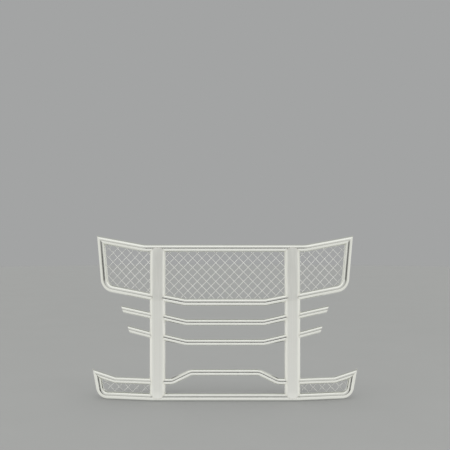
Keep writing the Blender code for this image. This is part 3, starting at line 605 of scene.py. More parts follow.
# outer frame: the top rail, and the hoops that come down from its corners to the uprights
HOOP_BEND = (1.079, 0.999)
HOOP_BEND_R = 0.100
HOOP_ROOT_Z = 0.926
hoop_slope = (HOOP_BEND[1] - HOOP_ROOT_Z) / (HOOP_BEND[0] - UPRIGHT_OUT)
hoop_corners = wing_root(HOOP_ROOT_Z, hoop_slope) + [guard_point(*HOOP_BEND), guard_point(*TOP_CORNER)]
hoop = bent_path(hoop_corners, HOOP_BEND_R)
mitre_blocks = {}
for side, label in SIDE_NAMES.items():
    corner, rail_end, hoop_end = to_side(
        [guard_point(*TOP_CORNER), guard_point(TOP_BEND_X, TOP_Z), guard_point(*HOOP_BEND)], side)
    mitre_blocks["top", side] = mitre("top_mitre_" + label, corner, rail_end, hoop_end)
    own_block = mitre("hoop_mitre_" + label, corner, hoop_end, rail_end)
    path = stretch_end(to_side(hoop, side), 2 * MAIN_R)
    tube("side_hoop_tube_" + label, path, MAIN_R, [upright_solids[side], own_block], "side_hoop_" + label)
tube("top_rail_tube", mirrored(top_half), MAIN_R,
     [mitre_blocks["top", 1], mitre_blocks["top", -1]], "top_rail")

# rails between the uprights, level in the middle and rising at each end: height of the middle, where it
# bends and how steeply it rises from there, radius of the tube and radius of the bend
centre_rails = {
    "frame_lower_rail": (0.875, 0.358, 0.195, MAIN_R, 0.10),
    "upper_mid_rail": (0.6955, 0.346, 0.231, RAIL_R, 0.15),
    "lower_mid_rail": (0.518, 0.346, 0.234, RAIL_R, 0.15),
}
rail_paths = {}
for name, (height, bend_x, slope, radius, bend_radius) in centre_rails.items():
    half = [guard_point(bend_x, height), guard_point(BURIED_X, height + (BURIED_X - bend_x) * slope)]
    rail_paths[name] = (bent_path(mirrored(half), bend_radius), radius)

# the low rail, arched over the towing eye's cover
ARCH_SHOULDER = (0.303, 0.251)
ARCH_FOOT = (0.470, 0.170)
ARCH_BEND_R = 0.10
half = [guard_point(*ARCH_SHOULDER), guard_point(*ARCH_FOOT), guard_point(BURIED_X, ARCH_FOOT[1])]
rail_paths["arch_rail"] = (bent_path(mirrored(half), ARCH_BEND_R), RAIL_R)
for name, (path, radius) in rail_paths.items():
    tube(name + "_tube", path, radius, both_uprights, name)

# bottom rail with turned-up ends, and the pocket rails mitred to them
POCKET_Z = 0.171
POCKET_BEND_X = 0.984
pocket_bends = [guard_point(POCKET_BEND_X, POCKET_Z), guard_point(*POCKET_CORNER)]
pocket_half = bent_path(wing_root(POCKET_Z, 0.0) + pocket_bends, WING_BEND_R)
wing_paths = {}                        # every tube that meets a post from outside, for its weld
for side, label in SIDE_NAMES.items():
    corner, bottom_end, pocket_end = to_side([bottom_half[-1], bottom_half[-2], pocket_half[-2]], side)
    mitre_blocks["bottom", side] = mitre("bottom_mitre_" + label, corner, bottom_end, pocket_end)
    own_block = mitre("pocket_mitre_" + label, corner, pocket_end, bottom_end)
    path = stretch_end(to_side(pocket_half, side), 2 * MAIN_R)
    tube("pocket_rail_tube_" + label, path, RAIL_R, [upright_solids[side], own_block],
         "pocket_rail_" + label)
    wing_paths["pocket", side] = (path, RAIL_R)
    wing_paths["hoop", side] = (to_side(hoop, side), MAIN_R)
tube("bottom_rail_tube", mirrored(bottom_half_long), MAIN_R,
     [mitre_blocks["bottom", 1], mitre_blocks["bottom", -1]], "bottom_rail")

# short stubs outside the uprights, cut off along one raked line and closed with welded discs
STUBS = {"upper": (0.758, 0.2005), "lower": (0.585, 0.240)}    # height beside the post, and slope
STUB_END_X = 0.918                     # one point of the raked line
STUB_END_Z = 0.808
STUB_CUT_SLOPE = 0.324                 # how far the line runs outwards for each metre up
CAP_THICK = 0.004
rake = Vector((STUB_CUT_SLOPE, 0.0, 1.0)).normalized()
inwards = Vector((-rake.z, 0.0, rake.x))
for level, (root_z, slope) in STUBS.items():
    end_x = ((STUB_END_X - STUB_CUT_SLOPE * STUB_END_Z + STUB_CUT_SLOPE * (root_z - slope * UPRIGHT_OUT))
             / (1 - STUB_CUT_SLOPE * slope))
    end = guard_point(end_x, root_z + (end_x - UPRIGHT_OUT) * slope)
    for side, label in SIDE_NAMES.items():
        corners = to_side(wing_root(root_z, slope) + [end], side)
        path = stretch_end(bent_path(corners, WING_BEND_R), 2 * RAIL_R)
        wing_paths[level + "_stub", side] = (path, RAIL_R)
        outer_face, inner_face, facing_in = to_side([end, end + inwards * CAP_THICK, inwards], side)
        trim = half_space("stub_trim", inner_face, facing_in)
        tube(level + "_stub_tube_" + label, path, RAIL_R, [upright_solids[side], trim],
             level + "_stub_" + label)
        disc = add_object("disc", sweep(path, RAIL_R, capped=True))
        outer_trim = half_space("cap_trim", outer_face, facing_in, LARGE_BLOCK)
        inner_trim = half_space("cap_back", inner_face - facing_in * JOINT_GAP, -facing_in, LARGE_BLOCK)
        finish_piece(level + "_end_disc_" + label, cut_from(disc, outer_trim, inner_trim), TUBE_METAL,
                     "guard", "polished_tube", level + "_end_cap_" + label)


# --- welds ------------------------------------------------------------------------------------
# Every joint of the guard is TIG-welded all round with aluminium filler, which leaves a bright bead of
# small overlapping ripples. The mitres and the level seams are dressed almost flush afterwards.

def make_weld_tree():
    """Rippled bead along the line where the carrier's surface meets another solid."""
    tree, given = new_tree("weld_bead", {"Other": "Object", "Bead Radius": "Float", "Ripple": "Float",
                                         "Metal": "Material"})
    other = add_node(tree, "GeometryNodeObjectInfo", {"transform_space": 'RELATIVE'},
                     {"Object": given["Other"]})
    cut = add_node(tree, "GeometryNodeMeshBoolean", {"operation": 'DIFFERENCE', "solver": 'EXACT'},
                   {0: given["Geometry"], 1: other.outputs["Geometry"]})
    line = add_node(tree, "GeometryNodeMeshToCurve", inputs={
        "Mesh": cut.outputs["Mesh"], "Selection": cut.outputs["Intersecting Edges"]})
    step = add_node(tree, "ShaderNodeMath", {"operation": 'DIVIDE'}, {0: given["Ripple"], 1: 4.0})
    even = add_node(tree, "GeometryNodeResampleCurve", {"mode": 'LENGTH'},
                    {"Curve": line, "Length": step})
    eased = add_node(tree, "GeometryNodeBlurAttribute", {"data_type": 'FLOAT_VECTOR'}, {
        0: add_node(tree, "GeometryNodeInputPosition"), "Iterations": 2})
    smooth_line = add_node(tree, "GeometryNodeSetPosition",
                           inputs={"Geometry": even, "Position": eased})
    run = add_node(tree, "GeometryNodeSplineParameter").outputs["Length"]
    turns = add_node(tree, "ShaderNodeMath", {"operation": 'DIVIDE'}, {0: run, 1: given["Ripple"]})
    angle = add_node(tree, "ShaderNodeMath", {"operation": 'MULTIPLY'}, {0: turns, 1: 2 * math.pi})
    wave = add_node(tree, "ShaderNodeMath", {"operation": 'SINE'}, {0: angle})
    hand = add_node(tree, "ShaderNodeTexNoise", {"noise_dimensions": '1D'}, {"W": run, "Scale": 40.0})
    swell = add_node(tree, "ShaderNodeMath", {"operation": 'MULTIPLY_ADD'}, {0: hand, 1: 0.3, 2: 0.85})
    share = add_node(tree, "ShaderNodeMath", {"operation": 'MULTIPLY_ADD'},
                     {0: wave, 1: 0.055, 2: swell})
    radius = add_node(tree, "ShaderNodeMath", {"operation": 'MULTIPLY'},
                      {0: share, 1: given["Bead Radius"]})
    ring = add_node(tree, "GeometryNodeCurvePrimitiveCircle", inputs={"Resolution": 10, "Radius": 1.0})
    bead = add_node(tree, "GeometryNodeCurveToMesh", inputs={
        "Curve": smooth_line, "Profile Curve": ring, "Scale": radius})
    end_tree(tree, bead.outputs[0], given["Metal"])
    return tree


WELD_TREE = make_weld_tree()
RIPPLE = 0.0028                        # travel between two dabs of filler
FILLET = 0.0034
DRESSED = 0.0009                       # how far a dressed bead, and any bead on the front, stands proud
SEAM_SINK = 0.0006                     # how deep a dressed bead's middle lies in the seam
MITRE_SINK = 0.0008


def weld_bead(work, mesh, other, radius):
    """Add to work the bead that joins a solid mesh to another object, ground back across the front."""
    bead = run_tree(WELD_TREE, add_object("weld", mesh),
                    {"Other": other, "Bead Radius": radius, "Ripple": RIPPLE})
    for vertex in bead.vertices:
        front = GUARD_Y + max(0.0, vertex.co.z - KINK_Z) * LEAN - MAIN_R
        vertex.co.y = max(vertex.co.y, front - DRESSED)
    work.from_mesh(bead)
    bpy.data.meshes.remove(bead)


def mesh_of(work, name):
    """The mesh held by a bmesh, with its faces turned outwards."""
    bmesh.ops.recalc_face_normals(work, faces=work.faces)
    mesh = bpy.data.meshes.new(name)
    work.to_mesh(mesh)
    work.free()
    return mesh


def box_mesh(low, high):
    """Plain block between two corners."""
    work = bmesh.new()
    bmesh.ops.create_cube(work, size=1.0)
    bmesh.ops.scale(work, verts=work.verts, vec=Vector(high) - Vector(low))
    bmesh.ops.translate(work, verts=work.verts, vec=(Vector(high) + Vector(low)) / 2)
    return mesh_of(work, "box")


def weld_metal():
    """Aluminium filler as it froze: bright and slightly frosted, with a straw tint where heat lingered."""
    material, tree, shader = start_material("tig_weld_aluminium", "#e2e2db", 1.0, 0.42)
    spot = add_node(tree, "ShaderNodeTexCoord").outputs["Object"]
    frost = add_node(tree, "ShaderNodeTexNoise", inputs={"Vector": spot, "Scale": 420.0, "Detail": 3.0})
    rough = add_node(tree, "ShaderNodeMath", {"operation": 'MULTIPLY_ADD'}, {0: frost, 1: 0.2, 2: 0.32})
    heat = add_node(tree, "ShaderNodeTexNoise", inputs={"Vector": spot, "Scale": 30.0, "Detail": 2.0})
    tint = add_node(tree, "ShaderNodeMix", {"data_type": 'RGBA'},
                    {0: heat, 6: linear("#dadbd5"), 7: linear("#ebe9df")})
    feed(tree, shader, {"Roughness": rough, "Base Color": tint.outputs[2]})
    return material


WELD_METAL = weld_metal()

for side, label in SIDE_NAMES.items():
    beads = bmesh.new()
    post = upright_solids[side]
    outer_paths = [tube_line for (kind, tube_side), tube_line in wing_paths.items() if tube_side == side]
    for path, radius in outer_paths + list(rail_paths.values()):
        weld_bead(beads, sweep(path, radius, capped=True), post, FILLET)
    x = side * UPRIGHT_X
    weld_bead(beads, post_bar(x, TOP_Z - OVERRUN, TOP_Z + TONGUE), top_solid, FILLET)
    weld_bead(beads, post_bar(x, BOTTOM_Z - TONGUE, BOTTOM_Z + OVERRUN), bottom_solid, FILLET)
    finish_piece("upright_welds_" + label, mesh_of(beads, "welds"), WELD_METAL, "guard", "satin_upright")

    dressed = bmesh.new()
    seam = half_space("seam", (x, GUARD_Y, KINK_Z), (0.0, 0.0, 1.0))
    weld_bead(dressed, oval_bar(x, KINK_Z - OVERRUN, KINK_Z + OVERRUN, -SEAM_SINK), seam, DRESSED)
    for corner, half in (("top", top_half), ("bottom", bottom_half_long)):
        tube_end = to_side(half[-3:], side)
        weld_bead(dressed, sweep(tube_end, MAIN_R - MITRE_SINK, capped=True), mitre_blocks[corner, side],
                  DRESSED)
    finish_piece("dressed_welds_" + label, mesh_of(dressed, "welds"), WELD_METAL, "guard", "satin_upright")


# --- wire panels ------------------------------------------------------------------------------
# Five panels of 5 mm aluminium wire, crimped and woven on the diagonal with 83 mm openings corner to
# corner. Each is edged with an 8 mm rod bent round its window, tacked to the backs of the tubes.

WIRE_R = 0.0025
RIM_R = 0.0040
MESH_PITCH = 0.083
MESH_EDGE = 0.006                      # from the window's outline to the rim rod
MESH_TUCK = 0.020                      # how far a panel reaches in behind a post
MESH_BACK = MAIN_R + 0.0015            # just clear of the backs of the tubes
CRIMP_STEP = 0.0052                    # between two rings of a wire, fine enough to draw its crimps
TACK_SPACING = 0.130
TACK_R = 0.0055
TACK_BACK = MAIN_R + 0.0005


def make_wire_tree():
    """Crimped wires from straight ones, and the rim rod from the one closed loop among them."""
    tree, given = new_tree("crimped_wires", {
        "Wire Radius": "Float", "Rim Radius": "Float", "Half Pitch": "Float", "Crossing X": "Float",
        "Metal": "Material"})
    closed = add_node(tree, "GeometryNodeInputSplineCyclic").outputs[0]
    fine = add_node(tree, "GeometryNodeResampleCurve", {"mode": 'LENGTH'},
                    {"Curve": given["Geometry"], "Length": CRIMP_STEP})
    place = add_node(tree, "ShaderNodeSeparateXYZ", inputs={
        0: add_node(tree, "GeometryNodeInputPosition")})
    off = add_node(tree, "ShaderNodeMath", {"operation": 'SUBTRACT'},
                   {0: place.outputs["X"], 1: given["Crossing X"]})
    steps = add_node(tree, "ShaderNodeMath", {"operation": 'DIVIDE'}, {0: off, 1: given["Half Pitch"]})
    angle = add_node(tree, "ShaderNodeMath", {"operation": 'MULTIPLY'}, {0: steps, 1: math.pi})
    wave = add_node(tree, "ShaderNodeMath", {"operation": 'COSINE'}, {0: angle})
    # wires that rise to one side pass behind where those that rise to the other side pass in front
    tangent = add_node(tree, "GeometryNodeInputTangent")
    lie = add_node(tree, "ShaderNodeSeparateXYZ", inputs={0: tangent})
    slant = add_node(tree, "ShaderNodeMath", {"operation": 'MULTIPLY'},
                     {0: lie.outputs["X"], 1: lie.outputs["Z"]})
    family = add_node(tree, "ShaderNodeMath", {"operation": 'SIGN'}, {0: slant})
    weave = add_node(tree, "ShaderNodeMath", {"operation": 'MULTIPLY'}, {0: wave, 1: family})
    crimp = add_node(tree, "ShaderNodeMath", {"operation": 'MULTIPLY'},
                     {0: weave, 1: given["Wire Radius"]})
    shift = add_node(tree, "ShaderNodeCombineXYZ", inputs={1: crimp})
    straight = add_node(tree, "FunctionNodeBooleanMath", {"operation": 'NOT'}, {0: closed})
    woven = add_node(tree, "GeometryNodeSetPosition", inputs={
        "Geometry": fine, "Selection": straight, "Offset": shift})
    radius = add_node(tree, "GeometryNodeSwitch", {"input_type": 'FLOAT'}, {
        "Switch": closed, "False": given["Wire Radius"], "True": given["Rim Radius"]})
    ring = add_node(tree, "GeometryNodeCurvePrimitiveCircle", inputs={"Resolution": 8, "Radius": 1.0})
    rods = add_node(tree, "GeometryNodeCurveToMesh", inputs={
        "Curve": woven, "Profile Curve": ring, "Scale": radius,
        "Fill Caps": True})
    end_tree(tree, rods.outputs[0], given["Metal"])
    return tree


def make_tack_tree():
    """Small blobs of filler at even steps round the rim."""
    tree, given = new_tree("tack_welds", {"Spacing": "Float", "Blob Radius": "Float", "Metal": "Material"})
    steps = add_node(tree, "GeometryNodeResampleCurve", {"mode": 'LENGTH'},
                     {"Curve": given["Geometry"], "Length": given["Spacing"]})
    blob = add_node(tree, "GeometryNodeMeshIcoSphere",
                    inputs={"Radius": given["Blob Radius"], "Subdivisions": 2})
    size = add_node(tree, "FunctionNodeRandomValue", {"data_type": 'FLOAT_VECTOR'},
                    {0: (0.9, 0.6, 0.9), 1: (1.2, 0.7, 1.2), "Seed": 7})
    blobs = add_node(tree, "GeometryNodeInstanceOnPoints", inputs={
        "Points": steps, "Instance": blob.outputs["Mesh"], "Scale": size})
    end_tree(tree, blobs.outputs[0], given["Metal"])
    return tree


def panel_wire_metal():
    """Drawn aluminium wire, bright where the die polished it and duller in small patches along it."""
    material, tree, shader = start_material("drawn_aluminium_wire", "#efefec", 1.0, 0.50)
    spot = add_node(tree, "ShaderNodeTexCoord").outputs["Object"]
    draw = add_node(tree, "ShaderNodeTexNoise", inputs={"Vector": spot, "Scale": 90.0, "Detail": 4.0})
    rough = add_node(tree, "ShaderNodeMath", {"operation": 'MULTIPLY_ADD'}, {0: draw, 1: 0.2, 2: 0.40})
    tone = add_node(tree, "ShaderNodeMix", {"data_type": 'RGBA'},
                    {0: draw, 6: linear("#e8e9e4"), 7: linear("#f6f6f4")})
    feed(tree, shader, {"Roughness": rough, "Base Color": tone.outputs[2]})
    return material


WIRE_TREE = make_wire_tree()
TACK_TREE = make_tack_tree()
WIRE_METAL = panel_wire_metal()


def inset(outline, distance):
    """Move every edge of a convex anticlockwise outline inwards."""
    points = [Vector(point) for point in outline]
    result = []
    for i, here in enumerate(points):
        before = (here - points[i - 1]).normalized()
        after = (points[(i + 1) % len(points)] - here).normalized()
        normal_before = Vector((-before.y, before.x))
        normal_after = Vector((-after.y, after.x))
        spread = 1 + normal_before.dot(normal_after)
        result.append(here + (normal_before + normal_after) * (distance / spread))
    return result


def clipped_line(start, direction, outline):
    """Both ends of the stretch of a line that lies inside a convex anticlockwise outline, or None."""
    low, high = -10.0, 10.0            # far past both sides of any panel
    for i, corner in enumerate(outline):
        edge = outline[(i + 1) % len(outline)] - corner
        normal = Vector((-edge.y, edge.x))
        speed = normal.dot(direction)
        height = normal.dot(start - corner)
        if abs(speed) < 1e-9:
            if height < 0:
                return None
        elif speed > 0:
            low = max(low, -height / speed)
        else:
            high = min(high, -height / speed)
    shortest = 0.012                   # a wire shorter than this is left out of a corner
    if high - low < shortest:
        return None
    return start + direction * low, start + direction * high


def lay_on_guard(mesh, depth):
    """Move a flat panel, made at Y = 0, to its depth behind the guard's centre surface."""
    for vertex in mesh.vertices:
        vertex.co.y += guard_point(vertex.co.x, vertex.co.z).y + depth
    return mesh


def panel_curve(loops):
    """Curve object in the XZ plane: each entry is (points, closed)."""
    curve = bpy.data.curves.new("panel", 'CURVE')
    curve.dimensions = '3D'
    for points, closed in loops:
        spline = curve.splines.new('POLY')
        spline.points.add(len(points) - 1)
        spline.use_cyclic_u = closed
        for point, place in zip(spline.points, points):
            point.co = (place.x, 0.0, place.y, 1.0)
    return add_object("panel", curve)


def build_panel(name, outline, crossing, squeeze):
    """One woven panel, its rim rod and the tacks that hold it; crossing is where two wires meet."""
    rim = inset(outline, MESH_EDGE + RIM_R)
    step_x = MESH_PITCH * squeeze / 2
    step_z = MESH_PITCH / 2
    reach = max(point.x for point in rim) - min(point.x for point in rim)
    rise = max(point.y for point in rim) - min(point.y for point in rim)
    count = math.ceil((reach / step_x + rise / step_z) / 2) + 2
    loops = [(rim, True)]
    for lean in (1, -1):
        direction = Vector((step_x, lean * step_z)).normalized()
        for i in range(-count, count + 1):
            ends = clipped_line(Vector(crossing) + Vector((2 * i * step_x, 0.0)), direction, rim)
            if ends:
                loops.append((ends, False))
    mesh = run_tree(WIRE_TREE, panel_curve(loops), {
        "Wire Radius": WIRE_R, "Rim Radius": RIM_R, "Half Pitch": step_x, "Crossing X": crossing[0]})
    finish_piece("wire_panel_" + name, lay_on_guard(mesh, MESH_BACK + 2 * WIRE_R), WIRE_METAL, "guard",
                 "wire_mesh", "mesh_" + name, smooth_angle=50.0)
    mesh = run_tree(TACK_TREE, panel_curve([(inset(outline, MESH_EDGE + RIM_R / 2), True)]),
                    {"Spacing": TACK_SPACING, "Blob Radius": TACK_R})
    finish_piece("panel_tacks_" + name, lay_on_guard(mesh, TACK_BACK), WELD_METAL, "guard", "wire_mesh")


# outlines of the windows as (across, height), anticlockwise, each with a place where two wires cross; on
# the wings, the mesh is squeezed sideways by their sweep
edge_in = UPRIGHT_X - UPRIGHT_WIDTH / 2 + MESH_TUCK
edge_out = UPRIGHT_OUT - MESH_TUCK
sill = centre_rails["frame_lower_rail"][0]
build_panel("centre", [(-edge_in, sill), (edge_in, sill), (edge_in, TOP_Z), (-edge_in, TOP_Z)],
            (0.0, 1.140), 1.0)
top_slope = (TOP_CORNER[1] - TOP_Z) / (TOP_CORNER[0] - TOP_BEND_X)
wing = [(edge_out, HOOP_ROOT_Z)] + [(point.x, point.z) for point in hoop if point.x > UPRIGHT_OUT]
wing.append((edge_out, TOP_Z - (TOP_BEND_X - edge_out) * top_slope))
turn_up = [(point.x, point.z) for point in bottom_half if point.x > UPRIGHT_OUT and point.z < POCKET_Z]
pocket = [(edge_out, BOTTOM_Z)] + turn_up + [(1.142, 0.186), (edge_out, 0.160)]
windows = {"wing": (wing, {-1: (-0.811, 1.185), 1: (0.8175, 1.172)}),
           "pocket": (pocket, {-1: (-0.873, 0.104), 1: (0.873, 0.104)})}
for window, (outline, crossings) in windows.items():
    for side, label in SIDE_NAMES.items():
        loop = [(side * x, z) for x, z in outline]
        if side < 0:
            loop.reverse()
        build_panel(window + "_" + label, loop, crossings[side], 1 / math.sqrt(1 + SWEEP * SWEEP))


# --- pivot lugs, latch lugs and bushes --------------------------------------------------------
# Aluminium lugs, 12 mm thick, welded to the backs of the posts. The lower pair holds the pressed-in
# bronze bushes on which the guard tilts, and the heel of each meets a stop pin; the upper pair takes the
# latch pins.

PIVOT = Vector(frame["joints"][0]["pos_m"])
PIVOT_DEPTH = PIVOT.y - GUARD_Y        # depths are counted back from the plane of the tubes
LATCH_DEPTH = 0.075
LATCH_Z = 0.330
PIN_R = 0.009
BOLT_R = 0.010
BUSH_R = 0.014
EYE_R = 0.030
HEEL_ANGLE = math.radians(21.6)        # direction of the heel's stop edge, straight out from the pivot
HEEL_REACH = 0.056
LUG_BACK = MAIN_R + 0.0003             # where a lug meets the post
LUG_NECK = 0.075                       # where a pivot lug's straight edges end
LUG_FILLET = 0.0036
PIVOT_FOOT = (0.055, 0.150)            # heights between which a lug is welded to the post
LATCH_FOOT = (LATCH_Z - 0.036, LATCH_Z + 0.036)
PLATE_EDGE = 0.0007                    # deburred edge of a cut plate
PLATE_ANGLE = 18.0                     # shades a plate's faces flat, its bores and rounded corners smooth


def circle(centre, radius, steps=48):
    """Points round a full circle."""
    return arc(centre, radius, 0.0, 2 * math.pi, steps)[:-1]


def standing_plate(node, outlines, edge=PLATE_EDGE):
    """Fore-and-aft plate as thick as its CAD node, from outlines in (depth behind the tubes, height)."""
    low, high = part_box(node)
    mesh = flat_shape(outlines, high.x - low.x, edge)
    stand = Matrix(((0, 0, 1, 0), (1, 0, 0, 0), (0, 1, 0, 0), (0, 0, 0, 1)))
    mesh.transform(Matrix.Translation(((low.x + high.x) / 2, GUARD_Y, 0.0)) @ stand)
    return mesh


def ends_along_x(node, side):
    """X of a CAD node's end towards the truck's middle, and of its outer end."""
    low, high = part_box(node)
    return (low.x, high.x) if side > 0 else (high.x, low.x)


def turned(profile, axis, centre, steps=48):
    """Closed turned piece: profile holds (radius, place along the axis) round its section."""
    work = bmesh.new()
    for ring in range(steps):
        angle = 2 * math.pi * ring / steps
        for radius, along in profile:
            work.verts.new((radius * math.cos(angle), radius * math.sin(angle), along))
    work.verts.ensure_lookup_table()
    count = len(profile)
    for ring in range(steps):
        after = (ring + 1) % steps
        for i in range(count):
            j = (i + 1) % count
            corners = [work.verts[ring * count + i], work.verts[after * count + i],
                       work.verts[after * count + j], work.verts[ring * count + j]]
            if profile[i][0] > 0.0 or profile[j][0] > 0.0:
                work.faces.new(corners)
    bmesh.ops.remove_doubles(work, verts=work.verts, dist=0.000001)
    turn = {'X': Matrix.Rotation(math.pi / 2, 4, 'Y'), 'Y': Matrix.Rotation(-math.pi / 2, 4, 'X'),
            'Z': Matrix.Identity(4)}[axis]
    bmesh.ops.transform(work, verts=work.verts, matrix=Matrix.Translation(centre) @ turn)
    return mesh_of(work, "turned")


def machined_bronze():
    """Oil-filled bronze, bored and faced on a lathe: a warm dull gold with fine rings from the tool."""
    material, tree, shader = start_material("turned_bearing_bronze", "#b98a4e", 1.0, 0.32)
    spot = add_node(tree, "ShaderNodeTexCoord").outputs["Object"]
    rings = add_node(tree, "ShaderNodeTexNoise", inputs={"Vector": spot, "Scale": 300.0, "Detail": 2.0})
    rough = add_node(tree, "ShaderNodeMath", {"operation": 'MULTIPLY_ADD'}, {0: rings, 1: 0.25, 2: 0.2})
    tone = add_node(tree, "ShaderNodeMix", {"data_type": 'RGBA'},
                    {0: rings, 6: linear("#a87a42"), 7: linear("#c79a5c")})
    feed(tree, shader, {"Roughness": rough, "Base Color": tone.outputs[2]})
    return material


BRONZE = machined_bronze()
pivot = (PIVOT_DEPTH, PIVOT.z)
latch = (LATCH_DEPTH, LATCH_Z)
for side, label in SIDE_NAMES.items():
    heel_end = (PIVOT_DEPTH + HEEL_REACH * math.cos(HEEL_ANGLE),
                PIVOT.z + HEEL_REACH * math.sin(HEEL_ANGLE))
    outline = [(LUG_BACK, PIVOT_FOOT[0]), (LUG_NECK, 0.062)]
    outline += arc(pivot, EYE_R, math.radians(250), math.radians(340), 18)
    outline += [(PIVOT_DEPTH + HEEL_REACH, PIVOT.z - 0.006), heel_end]
    outline += arc(pivot, EYE_R, HEEL_ANGLE, math.radians(115), 18)
    outline += [(LUG_NECK, 0.1375), (LUG_BACK, PIVOT_FOOT[1])]
    mesh = standing_plate("pivot_lug_" + label, [outline, circle(pivot, BUSH_R + 0.0001)])
    finish_piece("pivot_eye_lug_" + label, mesh, UPRIGHT_METAL, "guard", "satin_upright",
                 "pivot_lug_" + label, smooth_angle=PLATE_ANGLE)

    outline = [(LUG_BACK, LATCH_FOOT[0])] + arc(latch, 0.020, math.radians(-70), math.radians(70), 24)
    outline.append((LUG_BACK, LATCH_FOOT[1]))
    mesh = standing_plate("latch_lug_" + label, [outline, circle(latch, PIN_R + 0.0008)])
    finish_piece("latch_eye_lug_" + label, mesh, UPRIGHT_METAL, "guard", "satin_upright",
                 "latch_lug_" + label, smooth_angle=PLATE_ANGLE)

    low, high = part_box("pivot_bush_" + label)
    half = (high.x - low.x) / 2
    bore = BOLT_R + 0.0004
    lead = 0.0008
    profile = [(bore + lead, -half), (BUSH_R - lead / 2, -half), (BUSH_R, lead - half),
               (BUSH_R, half - lead), (BUSH_R - lead / 2, half), (bore + lead, half), (bore, half - lead),
               (bore, lead - half)]
    mesh = turned(profile, 'X', ((low.x + high.x) / 2, PIVOT.y, PIVOT.z))
    finish_piece("pivot_bushing_" + label, mesh, BRONZE, "guard", "bronze_bush", "pivot_bush_" + label)

    beads = bmesh.new()
    for node, (lug_low, lug_high) in (("pivot_lug_", PIVOT_FOOT), ("latch_lug_", LATCH_FOOT)):
        low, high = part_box(node + label)
        foot = box_mesh((low.x, GUARD_Y + 0.020, lug_low), (high.x, GUARD_Y + 0.045, lug_high))
        weld_bead(beads, foot, upright_solids[side], LUG_FILLET)
    finish_piece("lug_welds_" + label, mesh_of(beads, "welds"), WELD_METAL, "guard", "satin_upright")


# --- tilting brackets -------------------------------------------------------------------------
# One bracket behind each post: a 12 mm flange that bolts to the chassis front and two 8 mm cheek plates
# welded to it, with the stop plate and the latch guide. Laser-cut steel, shot-blasted and powder-coated
# satin black.

FLANGE_BOLTS = [(x, z) for x in (0.058, 0.113) for z in (0.075, 0.245)]    # from the inner edge, height
FLANGE_HOLE_R = 0.00875
FLANGE_CORNER_R = 0.010
CHEEK_LOW, CHEEK_SHOULDER, CHEEK_HIGH = 0.050, 0.270, 0.440
CHEEK_FILLET = 0.0036
STOP_FILLET = 0.0022
GUIDE_FILLET = 0.0026


def powder_coated_steel():
    """Polyester powder baked on steel: satin black with a fine orange peel, greyed by road dust on its
    upward faces and rubbed a little shinier in patches."""
    material, tree, shader = start_material("satin_black_powder_coat", "#1b1c1e", 0.0, 0.42)
    spot = add_node(tree, "ShaderNodeTexCoord").outputs["Object"]
    peel = add_node(tree, "ShaderNodeTexNoise", inputs={"Vector": spot, "Scale": 520.0, "Detail": 1.0})
    relief = add_node(tree, "ShaderNodeBump", inputs={"Height": peel, "Strength": 0.35,
                                                      "Distance": 0.00012})
    wear = add_node(tree, "ShaderNodeTexNoise", inputs={"Vector": spot, "Scale": 26.0, "Detail": 5.0})
    rough = add_node(tree, "ShaderNodeMath", {"operation": 'MULTIPLY_ADD'}, {0: wear, 1: 0.3, 2: 0.27})
    normal = add_node(tree, "ShaderNodeNewGeometry").outputs["Normal"]
    facing = add_node(tree, "ShaderNodeSeparateXYZ", inputs={0: normal})
    upward = add_node(tree, "ShaderNodeMapRange", {"interpolation_type": 'SMOOTHSTEP'},
                      {0: facing.outputs["Z"], 1: 0.2, 2: 1.0})
    dust = add_node(tree, "ShaderNodeMath", {"operation": 'MULTIPLY'}, {0: upward, 1: wear})
    dusted = add_node(tree, "ShaderNodeMix", {"data_type": 'RGBA'},
                      {0: dust, 6: linear("#1b1c1e"), 7: linear("#55524c")})
    feed(tree, shader, {"Roughness": rough, "Base Color": dusted.outputs[2], "Normal": relief})
    return material


